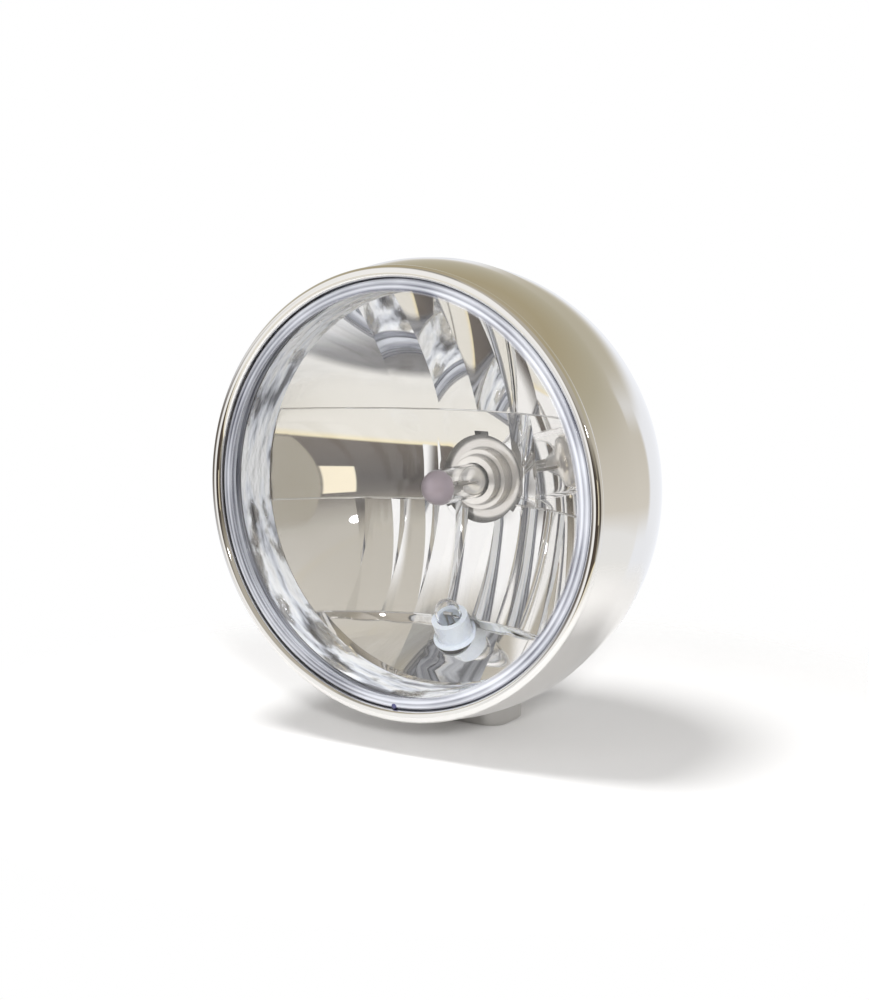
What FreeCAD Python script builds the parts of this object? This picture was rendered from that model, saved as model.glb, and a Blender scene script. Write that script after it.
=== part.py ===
import FreeCAD, Part

import math
import os

from FreeCAD import Vector

# Round motorcycle headlight of the seven inch class with a bottom mount.
# The lamp looks along -Y and +Z is up. The origin is the middle of the mounting seat under the bucket.
# Lengths are millimetres. A depth is measured backwards from the front of the trim ring's bead,
# and a radius from the lamp's axis.

# Lamp axis and mount
SEAT_DROP = 11.0
MOUNT_DEPTH = 74.0

# Trim ring, pressed from sheet
SHEET = 1.0
LIP_RADIUS = 95.0
BEAD = 2.5
BEAD_WRAP = 50.0
LIP_RETURN = 5.0
GROOVE = 1.4
GROOVE_DEPTH = 6.0
SKIRT_FLARE = 3.0
SKIRT_CROWN_DEPTH = 28.0
RIM_DEPTH = 36.0
LOCATOR_WIDTH = 2.6
LOCATOR_CLEARANCE = 0.3

# Bucket, drawn from sheet, its mouth nested in the trim ring
RIM_OVERLAP = 8.0
NEST_CLEARANCE = 0.25
HEM_WIDTH = 4.0
BUCKET_BAND = 4.0
BOWL_DEPTH = 78.0
REAR_FLAT_RADIUS = 22.0

# Lens and its gasket
GASKET_THICKNESS = 1.5
LENS_CLEARANCE = 0.4
LENS_WALL = 3.0
LENS_DOME = 10.0
LENS_EDGE_ROUND = 1.6
LENS_SHOULDER = 1.2
LENS_SKIRT = 10.0
LENS_FRONT_DEPTH = 2.0

# Reflector
SEAL_THICKNESS = 0.5
FLANGE_THICKNESS = 2.0
CHANNEL_MARGIN = 0.3
CHANNEL_WALL = 0.8
CHANNEL_REVEAL = 1.0
CHANNEL_HEIGHT = 5.0
CHANNEL_CLEARANCE = 0.5
LAND_WIDTH = 1.2
RIM_LAND = 2.8
REFLECTOR_DEPTH = 47.0
REFLECTOR_EDGE = 14.0
REFLECTOR_SIDE = 2.6
REFLECTOR_WALL = 4.0
TOP_ZONE = 31.0
TOP_FLUTE = 18.0
TOP_CROWN = 0.8
TOP_SET_BACK = 0.0
MIDDLE_ZONE = -10.5
PANEL_EDGE = 28.7
STRIP_EDGE = 15.0
STRIP_CROWN = 0.6
MIDDLE_SET_BACK = 0.9
LOWER_FLUTE = 14.0
LOWER_CROWN = 0.8
LOWER_SET_BACK = 0.3
BOTTOM_ZONE = -59.5
CHIN_EDGE = 22.0
CHIN_CROWN = 1.0
BOTTOM_SET_BACK = 6.0

# Main bulb and its seat
BULB_HOLE_RADIUS = 19.9
BULB_SEAT_OFFSET = 0.5
BULB_NOTCH_WIDTH = 7.0
BULB_NOTCH_DEPTH = 1.6
BULB_DISC_RADIUS = 22.5
BULB_DISC_THICKNESS = 1.2
BULB_COLLAR_RADIUS = 13.5
BULB_COLLAR_HEIGHT = 5.5
BULB_NECK_RADIUS = 11.0
BULB_NECK_HEIGHT = 4.5
GLASS_RADIUS = 7.75
GLASS_WALL = 1.0
GLASS_LENGTH = 48.5
GLASS_CLEARANCE = 0.15
GLASS_PINCH = 4.0
INSULATOR_RADIUS = 10.5
INSULATOR_LENGTH = 11.0
TERMINAL_WIDTH = 8.0
TERMINAL_THICKNESS = 0.8
TERMINAL_REACH = 12.0
TERMINAL_ROOT = 6.0
TERMINAL_OFFSET = 6.5
WIRE_RADIUS = 0.45
SHIELD_RADIUS = 4.0
SHIELD_LENGTH = 12.0
COIL_RADIUS = 0.8
COIL_LENGTH = 6.0

# Bayonet lock ring and rubber boot behind the bulb
RECESS_CLEARANCE = 0.4
LOCK_RING_THICKNESS = 1.4
LOCK_RING_HOLE = 12.0
LOCK_EAR = 1.5
LOCK_EAR_ANGLE = 20.0
LOCK_SLOT_ANGLE = 24.0
LOCK_ENTRY_ANGLE = 26.0
LOCK_SLOT_MARGIN = 0.1
COLLAR_WALL = 4.0
COLLAR_RIM = 0.8
BOOT_WALL = 2.0
BOOT_GRIP = 4.0
BOOT_CONE_LENGTH = 14.0
BOOT_MOUTH_RADIUS = 13.0
BOOT_CLEARANCE = 0.1

# Parking bulb in the bottom of the reflector
PARKING_INSET = 17.0
PARKING_TILT = 57.0
HOLDER_RADIUS = 8.2
HOLDER_STAND = 11.0
HOLDER_TAIL = 12.0
HOLDER_FLANGE_RADIUS = 12.0
HOLDER_FLANGE_THICKNESS = 2.5
PARKING_SEAL_WALL = 1.3
PARKING_SEAL_FLANGE = 2.0
PARKING_BOSS_RADIUS = 13.5
PARKING_BOSS_DEPTH = 5.0
PARKING_SPOT_CLEARANCE = 0.4
PARKING_CLEARANCE = 0.1
PARKING_GLASS_RADIUS = 5.6
PARKING_GLASS_WALL = 0.8
PARKING_GLASS_LENGTH = 20.0
PARKING_GLASS_PINCH = 3.5
PARKING_COIL_HEIGHT = 13.0
PARKING_WIRE_SPREAD = 1.6

# Retaining ring that clamps the optical unit into the trim ring
RETAINER_SHEET = 1.0
RETAINER_GAP = 0.9
RETAINER_RISE = 3.0
RETAINER_CLEARANCE = 0.7
LUG_COUNT = 4
LUG_WIDTH = 11.0
LUG_LENGTH = 7.0
LUG_GAP = 0.3
RETAINER_SCREW_RADIUS = 1.25
RETAINER_SCREW_REACH = 5.5
RETAINER_SCREW_END = 0.5
RETAINER_SCREW_WALL = 0.4
RETAINER_HEAD_RADIUS = 2.4
RETAINER_HEAD_HEIGHT = 1.8

# Hook at the top of the trim ring, screw and weld nut at its bottom
HOOK_WIDTH = 16.0
HOOK_SHEET = 1.2
HOOK_CLEARANCE = 0.3
HOOK_WELD = 3.0
RIM_SCREW_RADIUS = 1.95
RIM_SCREW_HEAD_RADIUS = 3.5
RIM_SCREW_HEAD_HEIGHT = 2.4
RIM_SCREW_SETBACK = 3.4
RIM_NUT_LENGTH = 6.6
RIM_NUT_WIDTH = 10.0
RIM_NUT_HEIGHT = 4.0

# Screw fits
THREAD_CLEARANCE = 0.05
HOLE_CLEARANCE = 0.3

# Cable grommet at the rear of the bucket
GROMMET_BORE_RADIUS = 4.5
GROMMET_NECK_RADIUS = 8.0
GROMMET_FLANGE_RADIUS = 11.0
GROMMET_FLANGE_THICKNESS = 2.4
GROMMET_TAPER = 1.0
GROMMET_CLEARANCE = 0.1

# Mount saddle with its threaded hole, inner plate and screws
SADDLE_WIDTH = 36.0
SADDLE_LENGTH = 28.0
SADDLE_CORNER = 9.0
SADDLE_CHAMFER = 1.0
THREAD_RADIUS = 4.25
THREAD_DEPTH = 16.0
PLATE_WIDTH = 34.0
PLATE_LENGTH = 20.0
PLATE_THICKNESS = 2.0
PLATE_CLEARANCE = 0.05
MOUNT_SCREW_SPREAD = 11.0
MOUNT_SCREW_RADIUS = 2.45
MOUNT_SCREW_REACH = 8.0
MOUNT_SCREW_END = 1.0
MOUNT_HEAD_RADIUS = 4.2
MOUNT_HEAD_HEIGHT = 3.0
MOUNT_HEAD_LIFT = 0.15

# Sizes that follow from those above
SKIRT_RADIUS = LIP_RADIUS + SKIRT_FLARE
AXIS_HEIGHT = SKIRT_RADIUS + SEAT_DROP
OPENING_RADIUS = LIP_RADIUS - 2 * BEAD
BUCKET_RADIUS = SKIRT_RADIUS - SHEET - NEST_CLEARANCE
MOUTH_DEPTH = RIM_DEPTH - RIM_OVERLAP
BOWL_START = RIM_DEPTH + BUCKET_BAND
SHOULDER_DEPTH = LIP_RETURN + GASKET_THICKNESS
BARREL_RADIUS = OPENING_RADIUS - LENS_CLEARANCE
LENS_RADIUS = BARREL_RADIUS + LENS_SHOULDER
LENS_BASE_DEPTH = SHOULDER_DEPTH + LENS_SKIRT
CHANNEL_DEPTH = LENS_BASE_DEPTH + SEAL_THICKNESS
CHANNEL_RADIUS = LENS_RADIUS - LENS_WALL - CHANNEL_CLEARANCE
CHANNEL_OUTER = LENS_RADIUS + CHANNEL_MARGIN
FLANGE_RADIUS = CHANNEL_OUTER + CHANNEL_WALL
FLANGE_BACK = CHANNEL_DEPTH + FLANGE_THICKNESS
REFLECTOR_RADIUS = CHANNEL_RADIUS - RIM_LAND
SIDE_RADIUS = REFLECTOR_RADIUS + REFLECTOR_SIDE
EDGE_DEPTH = CHANNEL_DEPTH + REFLECTOR_EDGE
VERTEX_DEPTH = EDGE_DEPTH + REFLECTOR_DEPTH
FOCAL_LENGTH = REFLECTOR_RADIUS ** 2 / (4 * REFLECTOR_DEPTH)
PARKING_DROP = REFLECTOR_RADIUS - PARKING_INSET
SEAT_DEPTH = VERTEX_DEPTH + BULB_SEAT_OFFSET
DISC_BACK = SEAT_DEPTH + BULB_DISC_THICKNESS
RECESS_RADIUS = BULB_DISC_RADIUS + RECESS_CLEARANCE
COLLAR_RADIUS = RECESS_RADIUS + COLLAR_WALL
COLLAR_BACK = DISC_BACK + LOCK_RING_THICKNESS + COLLAR_RIM
RETAINER_DEPTH = FLANGE_BACK + RETAINER_RISE
RIM_SCREW_DEPTH = RIM_DEPTH - RIM_SCREW_SETBACK
REAR_DEPTH = BOWL_START + BOWL_DEPTH * math.sqrt(1 - (REAR_FLAT_RADIUS / BUCKET_RADIUS) ** 2)

AXIS_DIRECTION = Vector(0, 1, 0)
DOWN = Vector(0, 0, -1)
FULL_TURN = 360.0
SPARE = 5.0


def at(x, depth, height):
    """A point of the lamp, given across, behind the bead's front and above the lamp's axis."""
    return Vector(x, depth - MOUNT_DEPTH, AXIS_HEIGHT + height)


def on_section(depth, radius):
    """A point of the half section above the lamp's axis."""
    return at(0, depth, radius)


AXIS_POINT = at(0, 0, 0)


def line(start, end):
    return Part.LineSegment(on_section(*start), on_section(*end)).toShape()


def arc(start, middle, end):
    return Part.Arc(on_section(*start), on_section(*middle), on_section(*end)).toShape()


def chain(points):
    """Straight edges from each section point to the next."""
    return [line(a, b) for a, b in zip(points, points[1:])]


def turned(edges):
    """The solid of revolution of a closed section about the lamp's axis."""
    return Part.Face(Part.Wire(edges)).revolve(AXIS_POINT, AXIS_DIRECTION, FULL_TURN)


def turned_polygon(points):
    return turned(chain(list(points) + [points[0]]))


def disc(radius, front, back):
    """A solid cylinder on the lamp's axis."""
    return Part.makeCylinder(radius, back - front, at(0, front, 0), AXIS_DIRECTION)


def tube(inner, outer, front, back):
    return turned_polygon([(front, inner), (front, outer), (back, outer), (back, inner)])


def spun(shape, degrees):
    """A copy turned about the lamp's axis."""
    copy = shape.copy()
    copy.rotate(AXIS_POINT, AXIS_DIRECTION, degrees)
    return copy


def sector(inner, outer, front, back, middle_angle, sweep):
    """A piece of tube that covers sweep degrees about middle_angle, counted from the top."""
    face = Part.Face(Part.Wire(chain([(front, inner), (front, outer), (back, outer),
                                      (back, inner), (front, inner)])))
    return spun(face.revolve(AXIS_POINT, AXIS_DIRECTION, sweep), middle_angle - sweep / 2)


def block(width, front, back, low, high):
    """A box centred across the lamp."""
    return Part.makeBox(width, back - front, high - low, at(-width / 2, front, low))


def quadratic_poles(function, start, end):
    """The three control values of a quadratic between start and end."""
    middle = function((start + end) / 2)
    return [function(start), 2 * middle - (function(start) + function(end)) / 2, function(end)]


# Trim ring

def skirt_arc_radius():
    rise = SKIRT_RADIUS - (LIP_RADIUS - GROOVE)
    run = SKIRT_CROWN_DEPTH - GROOVE_DEPTH
    return (run ** 2 + rise ** 2) / (2 * rise)


def skirt_radius(depth, inset=0.0):
    """Radius of the skirt's outer face at a depth, or of a face lying inset within it."""
    bend = skirt_arc_radius() - inset
    before = max(0.0, SKIRT_CROWN_DEPTH - depth)
    return SKIRT_RADIUS - inset - bend + math.sqrt(bend ** 2 - before ** 2)


def skirt_arc(front, back, inset):
    middle = (front + back) / 2
    return arc((front, skirt_radius(front, inset)), (middle, skirt_radius(middle, inset)),
               (back, skirt_radius(back, inset)))


def inside_of_skirt(front, back):
    """All the room within the skirt's inner face between two depths, up to the crown's depth."""
    edges = [line((back, 0), (front, 0)), line((front, 0), (front, skirt_radius(front, SHEET)))]
    edges.append(skirt_arc(front, back, SHEET))
    edges.append(line((back, skirt_radius(back, SHEET)), (back, 0)))
    return turned(edges)


def trim_ring():
    """Rolled bead, groove and crowned skirt, all one sheet, with a notch for the lens's locator."""
    bead_radius = LIP_RADIUS - BEAD
    wrap = math.radians(BEAD_WRAP)
    bead_end = (BEAD + BEAD * math.sin(wrap), bead_radius + BEAD * math.cos(wrap))
    groove = (GROOVE_DEPTH, LIP_RADIUS - GROOVE)
    skirt_end = (SKIRT_CROWN_DEPTH, SKIRT_RADIUS)
    outline = [
        line((LIP_RETURN, OPENING_RADIUS), (BEAD, OPENING_RADIUS)),
        arc((BEAD, OPENING_RADIUS), (0, bead_radius), (BEAD, LIP_RADIUS)),
        arc((BEAD, LIP_RADIUS),
            (BEAD + BEAD * math.sin(wrap / 2), bead_radius + BEAD * math.cos(wrap / 2)), bead_end),
        line(bead_end, groove),
        skirt_arc(GROOVE_DEPTH, SKIRT_CROWN_DEPTH, 0),
        line(skirt_end, (RIM_DEPTH, SKIRT_RADIUS)),
    ]
    ring = sheet_turned(outline, SHEET)
    notch_width = LOCATOR_WIDTH + 2 * LOCATOR_CLEARANCE
    notch = block(notch_width, BEAD, LIP_RETURN + SPARE, -OPENING_RADIUS - SHEET - LOCATOR_CLEARANCE,
                  -OPENING_RADIUS + SPARE)
    return ring.cut([notch, rim_screw_hole()])


def sheet_turned(outline, thickness):
    """A sheet of even thickness within an open outline, turned about the lamp's axis."""
    section = Part.Wire(outline).makeOffset2D(thickness, 2, True, True, False)
    return section.revolve(AXIS_POINT, AXIS_DIRECTION, FULL_TURN).Solids[0]


def rim_screw_hole():
    radius = RIM_SCREW_RADIUS + HOLE_CLEARANCE
    return Part.makeCylinder(radius, 4 * SPARE, at(0, RIM_SCREW_DEPTH, -SKIRT_RADIUS + 3 * SPARE), DOWN)


def rim_gasket():
    return tube(BARREL_RADIUS + LOCATOR_CLEARANCE, LENS_RADIUS, LIP_RETURN, SHOULDER_DEPTH).cut(
        block(LOCATOR_WIDTH + 2 * LOCATOR_CLEARANCE, 0, SHOULDER_DEPTH + SPARE, -LENS_RADIUS - SPARE,
              -BARREL_RADIUS + SPARE))


# Lens

def lens():
    """Clear domed front with a barrel that fills the ring's opening and a skirt behind its shoulder."""
    front_radius = BARREL_RADIUS - LENS_EDGE_ROUND
    corner = LENS_EDGE_ROUND * (1 - math.sqrt(0.5))
    apex = LENS_FRONT_DEPTH - LENS_DOME
    inner_radius = BARREL_RADIUS - LENS_WALL
    skirt_inner = LENS_RADIUS - LENS_WALL
    inner_front = LENS_FRONT_DEPTH + LENS_WALL
    outer_half = dome_middle(apex, front_radius, LENS_FRONT_DEPTH)
    inner_half = dome_middle(apex + LENS_WALL, inner_radius, inner_front)
    edges = [
        arc((apex, 0), outer_half, (LENS_FRONT_DEPTH, front_radius)),
        arc((LENS_FRONT_DEPTH, front_radius),
            (LENS_FRONT_DEPTH + corner, BARREL_RADIUS - corner),
            (LENS_FRONT_DEPTH + LENS_EDGE_ROUND, BARREL_RADIUS)),
    ]
    edges += chain([
        (LENS_FRONT_DEPTH + LENS_EDGE_ROUND, BARREL_RADIUS),
        (SHOULDER_DEPTH, BARREL_RADIUS),
        (SHOULDER_DEPTH, LENS_RADIUS),
        (LENS_BASE_DEPTH, LENS_RADIUS),
        (LENS_BASE_DEPTH, skirt_inner),
        (SHOULDER_DEPTH + LENS_WALL, skirt_inner),
        (SHOULDER_DEPTH + LENS_WALL, inner_radius),
        (inner_front, inner_radius),
    ])
    edges.append(arc((inner_front, inner_radius), inner_half, (apex + LENS_WALL, 0)))
    edges.append(line((apex + LENS_WALL, 0), (apex, 0)))
    locator = block(LOCATOR_WIDTH, LENS_FRONT_DEPTH + LENS_EDGE_ROUND, SHOULDER_DEPTH,
                    -OPENING_RADIUS - SHEET + LOCATOR_CLEARANCE, -BARREL_RADIUS + LENS_WALL / 2)
    return turned(edges).fuse(locator).removeSplitter()


def dome_middle(apex, edge_radius, edge_depth):
    """The point half way out along a dome's circular arc from its apex to its edge."""
    sag = edge_depth - apex
    bend = (edge_radius ** 2 + sag ** 2) / (2 * sag)
    half = math.asin(edge_radius / bend) / 2
    return (apex + bend * (1 - math.cos(half)), bend * math.sin(half))


def lens_seal():
    return tube(CHANNEL_RADIUS, LENS_RADIUS, LENS_BASE_DEPTH, CHANNEL_DEPTH)


# Reflector

def parabola(vertex, start_radius, end_radius):
    """An edge of the parabola with its vertex at a depth, between two radii."""
    depths = quadratic_poles(lambda r: vertex - r ** 2 / (4 * FOCAL_LENGTH), start_radius, end_radius)
    radii = [start_radius, (start_radius + end_radius) / 2, end_radius]
    curve = Part.BezierCurve()
    curve.setPoles([on_section(d, r) for d, r in zip(depths, radii)])
    return curve.toShape()


def parabola_radius(vertex, depth):
    return math.sqrt(4 * FOCAL_LENGTH * (vertex - depth))


def paraboloid(vertex, front):
    """A solid paraboloid, cut off flat at its front."""
    radius = parabola_radius(vertex, front)
    return turned([line((vertex, 0), (front, 0)), line((front, 0), (front, radius)),
                   parabola(vertex, radius, 0)])


def facet(left, right, low, high, crown, set_back):
    """The room in front of one facet: a parabolic patch, bulged across by its crown and set back."""
    middle = (left + right) / 2
    half = (right - left) / 2

    def across(x):
        return -x ** 2 / (4 * FOCAL_LENGTH) - crown * (1 - ((x - middle) / half) ** 2)

    def upwards(z):
        return VERTEX_DEPTH + set_back - z ** 2 / (4 * FOCAL_LENGTH)

    ends_x = (left - SPARE, right + SPARE)
    ends_z = (low - SPARE, high + SPARE)
    depths_x = quadratic_poles(across, *ends_x)
    depths_z = quadratic_poles(upwards, *ends_z)
    places_x = [ends_x[0], middle, ends_x[1]]
    places_z = [ends_z[0], (low + high) / 2, ends_z[1]]
    patch = Part.BezierSurface()
    patch.increase(2, 2)
    for i in range(3):
        for j in range(3):
            patch.setPole(i + 1, j + 1, at(places_x[i], depths_x[i] + depths_z[j], places_z[j]))
    reach = VERTEX_DEPTH + SPARE
    room = patch.toShape().extrude(Vector(0, -reach, 0))
    cell = Part.makeBox(right - left, 2 * reach, high - low, at(left, -SPARE, low))
    return room.common(cell)


def both_sides(edges):
    """The edges between columns, mirrored to the left of the lamp's middle."""
    return sorted(set([-edge for edge in edges] + edges))


def facets():
    """The room in front of every facet, in four zones: crowned columns, and plain ones at the rim."""
    rim = REFLECTOR_RADIUS + SPARE
    zones = [
        (TOP_ZONE, rim, [0.0, TOP_FLUTE, 2 * TOP_FLUTE], TOP_CROWN, TOP_SET_BACK),
        (MIDDLE_ZONE, TOP_ZONE, [STRIP_EDGE, PANEL_EDGE], STRIP_CROWN, MIDDLE_SET_BACK),
        (BOTTOM_ZONE, MIDDLE_ZONE, [LOWER_FLUTE * (n + 0.5) for n in range(4)], LOWER_CROWN,
         LOWER_SET_BACK),
        (-rim, BOTTOM_ZONE, [CHIN_EDGE], CHIN_CROWN, BOTTOM_SET_BACK),
    ]
    rooms = []
    for low, high, edges, crown, set_back in zones:
        inner = both_sides(edges)
        rooms.append(facet(-rim, inner[0], low, high, 0.0, set_back))
        for left, right in zip(inner, inner[1:]):
            rooms.append(facet(left, right, low, high, crown, set_back))
        rooms.append(facet(inner[-1], rim, low, high, 0.0, set_back))
    return rooms


def reflector():
    """Moulded bowl with a rim channel for the lens, a bulb seat and a boss for the parking bulb."""
    outer_vertex = VERTEX_DEPTH + REFLECTOR_WALL
    land_front = CHANNEL_DEPTH - CHANNEL_HEIGHT
    channel_front = SHOULDER_DEPTH + CHANNEL_REVEAL
    rim = turned_polygon([
        (land_front, 0), (land_front, CHANNEL_RADIUS), (CHANNEL_DEPTH, CHANNEL_RADIUS),
        (CHANNEL_DEPTH, CHANNEL_OUTER), (channel_front, CHANNEL_OUTER), (channel_front, FLANGE_RADIUS),
        (FLANGE_BACK, FLANGE_RADIUS), (FLANGE_BACK, 0)])
    side = disc(SIDE_RADIUS, FLANGE_BACK, outer_vertex + BOTTOM_SET_BACK)
    chin_room = block(4 * REFLECTOR_RADIUS, land_front, outer_vertex + BOTTOM_SET_BACK,
                      -2 * REFLECTOR_RADIUS, BOTTOM_ZONE + REFLECTOR_WALL / 2)
    chin = paraboloid(outer_vertex + BOTTOM_SET_BACK, FLANGE_BACK).common(side).common(chin_room)
    bowl = paraboloid(outer_vertex, FLANGE_BACK).common(side)
    collar = disc(COLLAR_RADIUS, FLANGE_BACK, COLLAR_BACK)
    boss = parking_turned([(-PARKING_BOSS_DEPTH, 0), (-PARKING_BOSS_DEPTH, PARKING_BOSS_RADIUS),
                           (PARKING_BOSS_DEPTH, PARKING_BOSS_RADIUS), (PARKING_BOSS_DEPTH, 0)])
    body = rim.fuse([bowl, chin, collar, boss])
    rooms = facets()
    cavity = rooms[0].fuse(rooms[1:]).common(disc(REFLECTOR_RADIUS, 0, outer_vertex + SPARE))
    land_radius = CHANNEL_RADIUS - LAND_WIDTH
    land = turned_polygon([(0, 0), (0, land_radius), (land_front, land_radius),
                           (EDGE_DEPTH, REFLECTOR_RADIUS), (EDGE_DEPTH, 0)])
    hole = disc(BULB_HOLE_RADIUS, FLANGE_BACK, COLLAR_BACK + SPARE)
    notch_radius = BULB_HOLE_RADIUS + BULB_NOTCH_DEPTH
    notch = block(BULB_NOTCH_WIDTH, FLANGE_BACK, SEAT_DEPTH, 0, notch_radius)
    notches = [spun(notch, angle) for angle in (0, 120, 240)]
    recess = disc(RECESS_RADIUS, SEAT_DEPTH, COLLAR_BACK + SPARE)
    ear_radius = RECESS_RADIUS + LOCK_EAR + LOCK_SLOT_MARGIN
    slots = []
    for angle in (0, 120, 240):
        slots.append(sector(0, ear_radius, DISC_BACK - LOCK_SLOT_MARGIN,
                            DISC_BACK + LOCK_RING_THICKNESS + LOCK_SLOT_MARGIN, angle, LOCK_SLOT_ANGLE))
        slots.append(sector(0, ear_radius, DISC_BACK - LOCK_SLOT_MARGIN, COLLAR_BACK + SPARE,
                            angle + LOCK_SLOT_ANGLE, LOCK_ENTRY_ANGLE))
    parking_hole = parking_turned([(-PARKING_BOSS_DEPTH - SPARE, 0),
                                   (-PARKING_BOSS_DEPTH - SPARE, parking_hole_radius()),
                                   (4 * PARKING_BOSS_DEPTH, parking_hole_radius()),
                                   (4 * PARKING_BOSS_DEPTH, 0)])
    spot_radius = HOLDER_FLANGE_RADIUS + PARKING_SPOT_CLEARANCE
    spot_face = parking_turned([(-PARKING_BOSS_DEPTH, 0), (-PARKING_BOSS_DEPTH, spot_radius),
                                (-4 * PARKING_BOSS_DEPTH, spot_radius), (-4 * PARKING_BOSS_DEPTH, 0)])
    return body.cut([cavity, land, hole, recess, parking_hole, spot_face] + notches + slots)


# Main bulb

def bulb_base():
    """Steel disc that seats on the reflector, with a stepped collar and neck round the glass."""
    bore = GLASS_RADIUS + GLASS_CLEARANCE
    collar_front = SEAT_DEPTH - BULB_COLLAR_HEIGHT
    neck_front = collar_front - BULB_NECK_HEIGHT
    return turned_polygon([
        (neck_front, bore), (neck_front, BULB_NECK_RADIUS), (collar_front, BULB_NECK_RADIUS),
        (collar_front, BULB_COLLAR_RADIUS), (SEAT_DEPTH, BULB_COLLAR_RADIUS),
        (SEAT_DEPTH, BULB_DISC_RADIUS), (DISC_BACK, BULB_DISC_RADIUS), (DISC_BACK, bore)])


def glass_tip_depth():
    return DISC_BACK - GLASS_LENGTH


def bulb_glass():
    """Clear capsule with a round tip, pinched shut at its base."""
    tip = glass_tip_depth()
    middle = GLASS_RADIUS * (1 - math.sqrt(0.5))
    inner = GLASS_RADIUS - GLASS_WALL
    inner_middle = GLASS_WALL + inner * (1 - math.sqrt(0.5))
    shoulder = tip + GLASS_RADIUS
    floor = DISC_BACK - GLASS_PINCH
    edges = [arc((tip, 0), (tip + middle, GLASS_RADIUS - middle), (shoulder, GLASS_RADIUS))]
    edges += chain([(shoulder, GLASS_RADIUS), (DISC_BACK, GLASS_RADIUS), (DISC_BACK, 0), (floor, 0),
                    (floor, inner), (shoulder, inner)])
    edges.append(arc((shoulder, inner), (tip + inner_middle, inner * math.sqrt(0.5)),
                     (tip + GLASS_WALL, 0)))
    edges.append(line((tip + GLASS_WALL, 0), (tip, 0)))
    return turned(edges)


def rod(radius, start, end):
    """A straight wire between two lamp points given as across, depth and height."""
    a = at(*start)
    b = at(*end)
    return Part.makeCylinder(radius, (b - a).Length, a, b - a)


def bulb_filaments():
    """Dipped and main filament coils with the dipped beam's shield on three lead wires."""
    root = DISC_BACK - GLASS_PINCH
    tip = glass_tip_depth() + GLASS_RADIUS
    shield_back = tip + SHIELD_LENGTH + 2 * WIRE_RADIUS
    shield_front = tip + 2 * WIRE_RADIUS
    cup = tube(SHIELD_RADIUS - WIRE_RADIUS, SHIELD_RADIUS, shield_front, shield_back)
    cup = cup.common(block(4 * SHIELD_RADIUS, shield_front, shield_back, -2 * SHIELD_RADIUS, 0))
    side = SHIELD_RADIUS - WIRE_RADIUS / 2
    coil_height = 2 * COIL_RADIUS
    dipped_front = shield_front + 2 * COIL_RADIUS
    dipped_back = dipped_front + COIL_LENGTH
    main_front = shield_back + 2 * COIL_RADIUS
    main_back = main_front + COIL_LENGTH
    pieces = [
        cup,
        rod(WIRE_RADIUS, (-side, shield_front, 0), (-side, root, 0)),
        rod(WIRE_RADIUS, (side, dipped_back, 0), (side, root, 0)),
        rod(WIRE_RADIUS, (0, main_back, 0), (0, root, 0)),
        rod(COIL_RADIUS, (0, dipped_front, coil_height), (0, dipped_back, coil_height)),
        rod(COIL_RADIUS, (0, main_front, 0), (0, main_back, 0)),
        rod(WIRE_RADIUS, (-side, dipped_front, 0), (0, dipped_front, coil_height)),
        rod(WIRE_RADIUS, (side, dipped_back, 0), (0, dipped_back, coil_height)),
        rod(WIRE_RADIUS, (-side, main_front, 0), (0, main_front, 0)),
    ]
    return pieces[0].fuse(pieces[1:])


def terminals():
    """Three flat blades, one above and one at each side of the bulb's insulator."""
    front = DISC_BACK + INSULATOR_LENGTH - TERMINAL_ROOT
    back = DISC_BACK + INSULATOR_LENGTH + TERMINAL_REACH
    top = block(TERMINAL_WIDTH, front, back, TERMINAL_OFFSET, TERMINAL_OFFSET + TERMINAL_THICKNESS)
    sides = [
        Part.makeBox(TERMINAL_THICKNESS, back - front, TERMINAL_WIDTH,
                     at(sign * TERMINAL_OFFSET - TERMINAL_THICKNESS / 2, front,
                        TERMINAL_OFFSET / 2 - TERMINAL_WIDTH))
        for sign in (-1, 1)]
    return [top] + sides


def bulb_insulator():
    return disc(INSULATOR_RADIUS, DISC_BACK, DISC_BACK + INSULATOR_LENGTH).cut(terminals())


def bulb_lock_ring():
    """Pressed bayonet ring whose three ears turn under the rim of the reflector's collar."""
    back = DISC_BACK + LOCK_RING_THICKNESS
    ring = tube(LOCK_RING_HOLE, BULB_DISC_RADIUS, DISC_BACK, back)
    ears = [sector(BULB_DISC_RADIUS - SHEET, RECESS_RADIUS + LOCK_EAR, DISC_BACK, back, angle,
                   LOCK_EAR_ANGLE) for angle in (0, 120, 240)]
    return ring.fuse(ears)


def bulb_boot():
    """Rubber cover stretched over the collar, drawn in to a mouth round the terminals."""
    grip = COLLAR_RADIUS + BOOT_CLEARANCE
    front = COLLAR_BACK - BOOT_GRIP
    back = COLLAR_BACK + BOOT_WALL
    mouth = back + BOOT_CONE_LENGTH
    return turned_polygon([
        (front, grip), (front, grip + BOOT_WALL), (back, grip + BOOT_WALL),
        (mouth, BOOT_MOUTH_RADIUS + BOOT_WALL), (mouth, BOOT_MOUTH_RADIUS),
        (back, grip - BOOT_WALL), (COLLAR_BACK, grip - BOOT_WALL), (COLLAR_BACK, grip)])


# Parking bulb, on an axis of its own that leans up and forwards out of the reflector's bottom

def parking_depth():
    return VERTEX_DEPTH + BOTTOM_SET_BACK - PARKING_DROP ** 2 / (4 * FOCAL_LENGTH)


def parking_turned(points):
    """A solid turned about the parking bulb's axis from points of height along it and radius."""
    corners = [Vector(radius, 0, height) for height, radius in points]
    solid = Part.Face(Part.makePolygon(corners + [corners[0]])).revolve(
        Vector(0, 0, 0), Vector(0, 0, 1), FULL_TURN)
    return parking_placed(solid)


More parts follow.
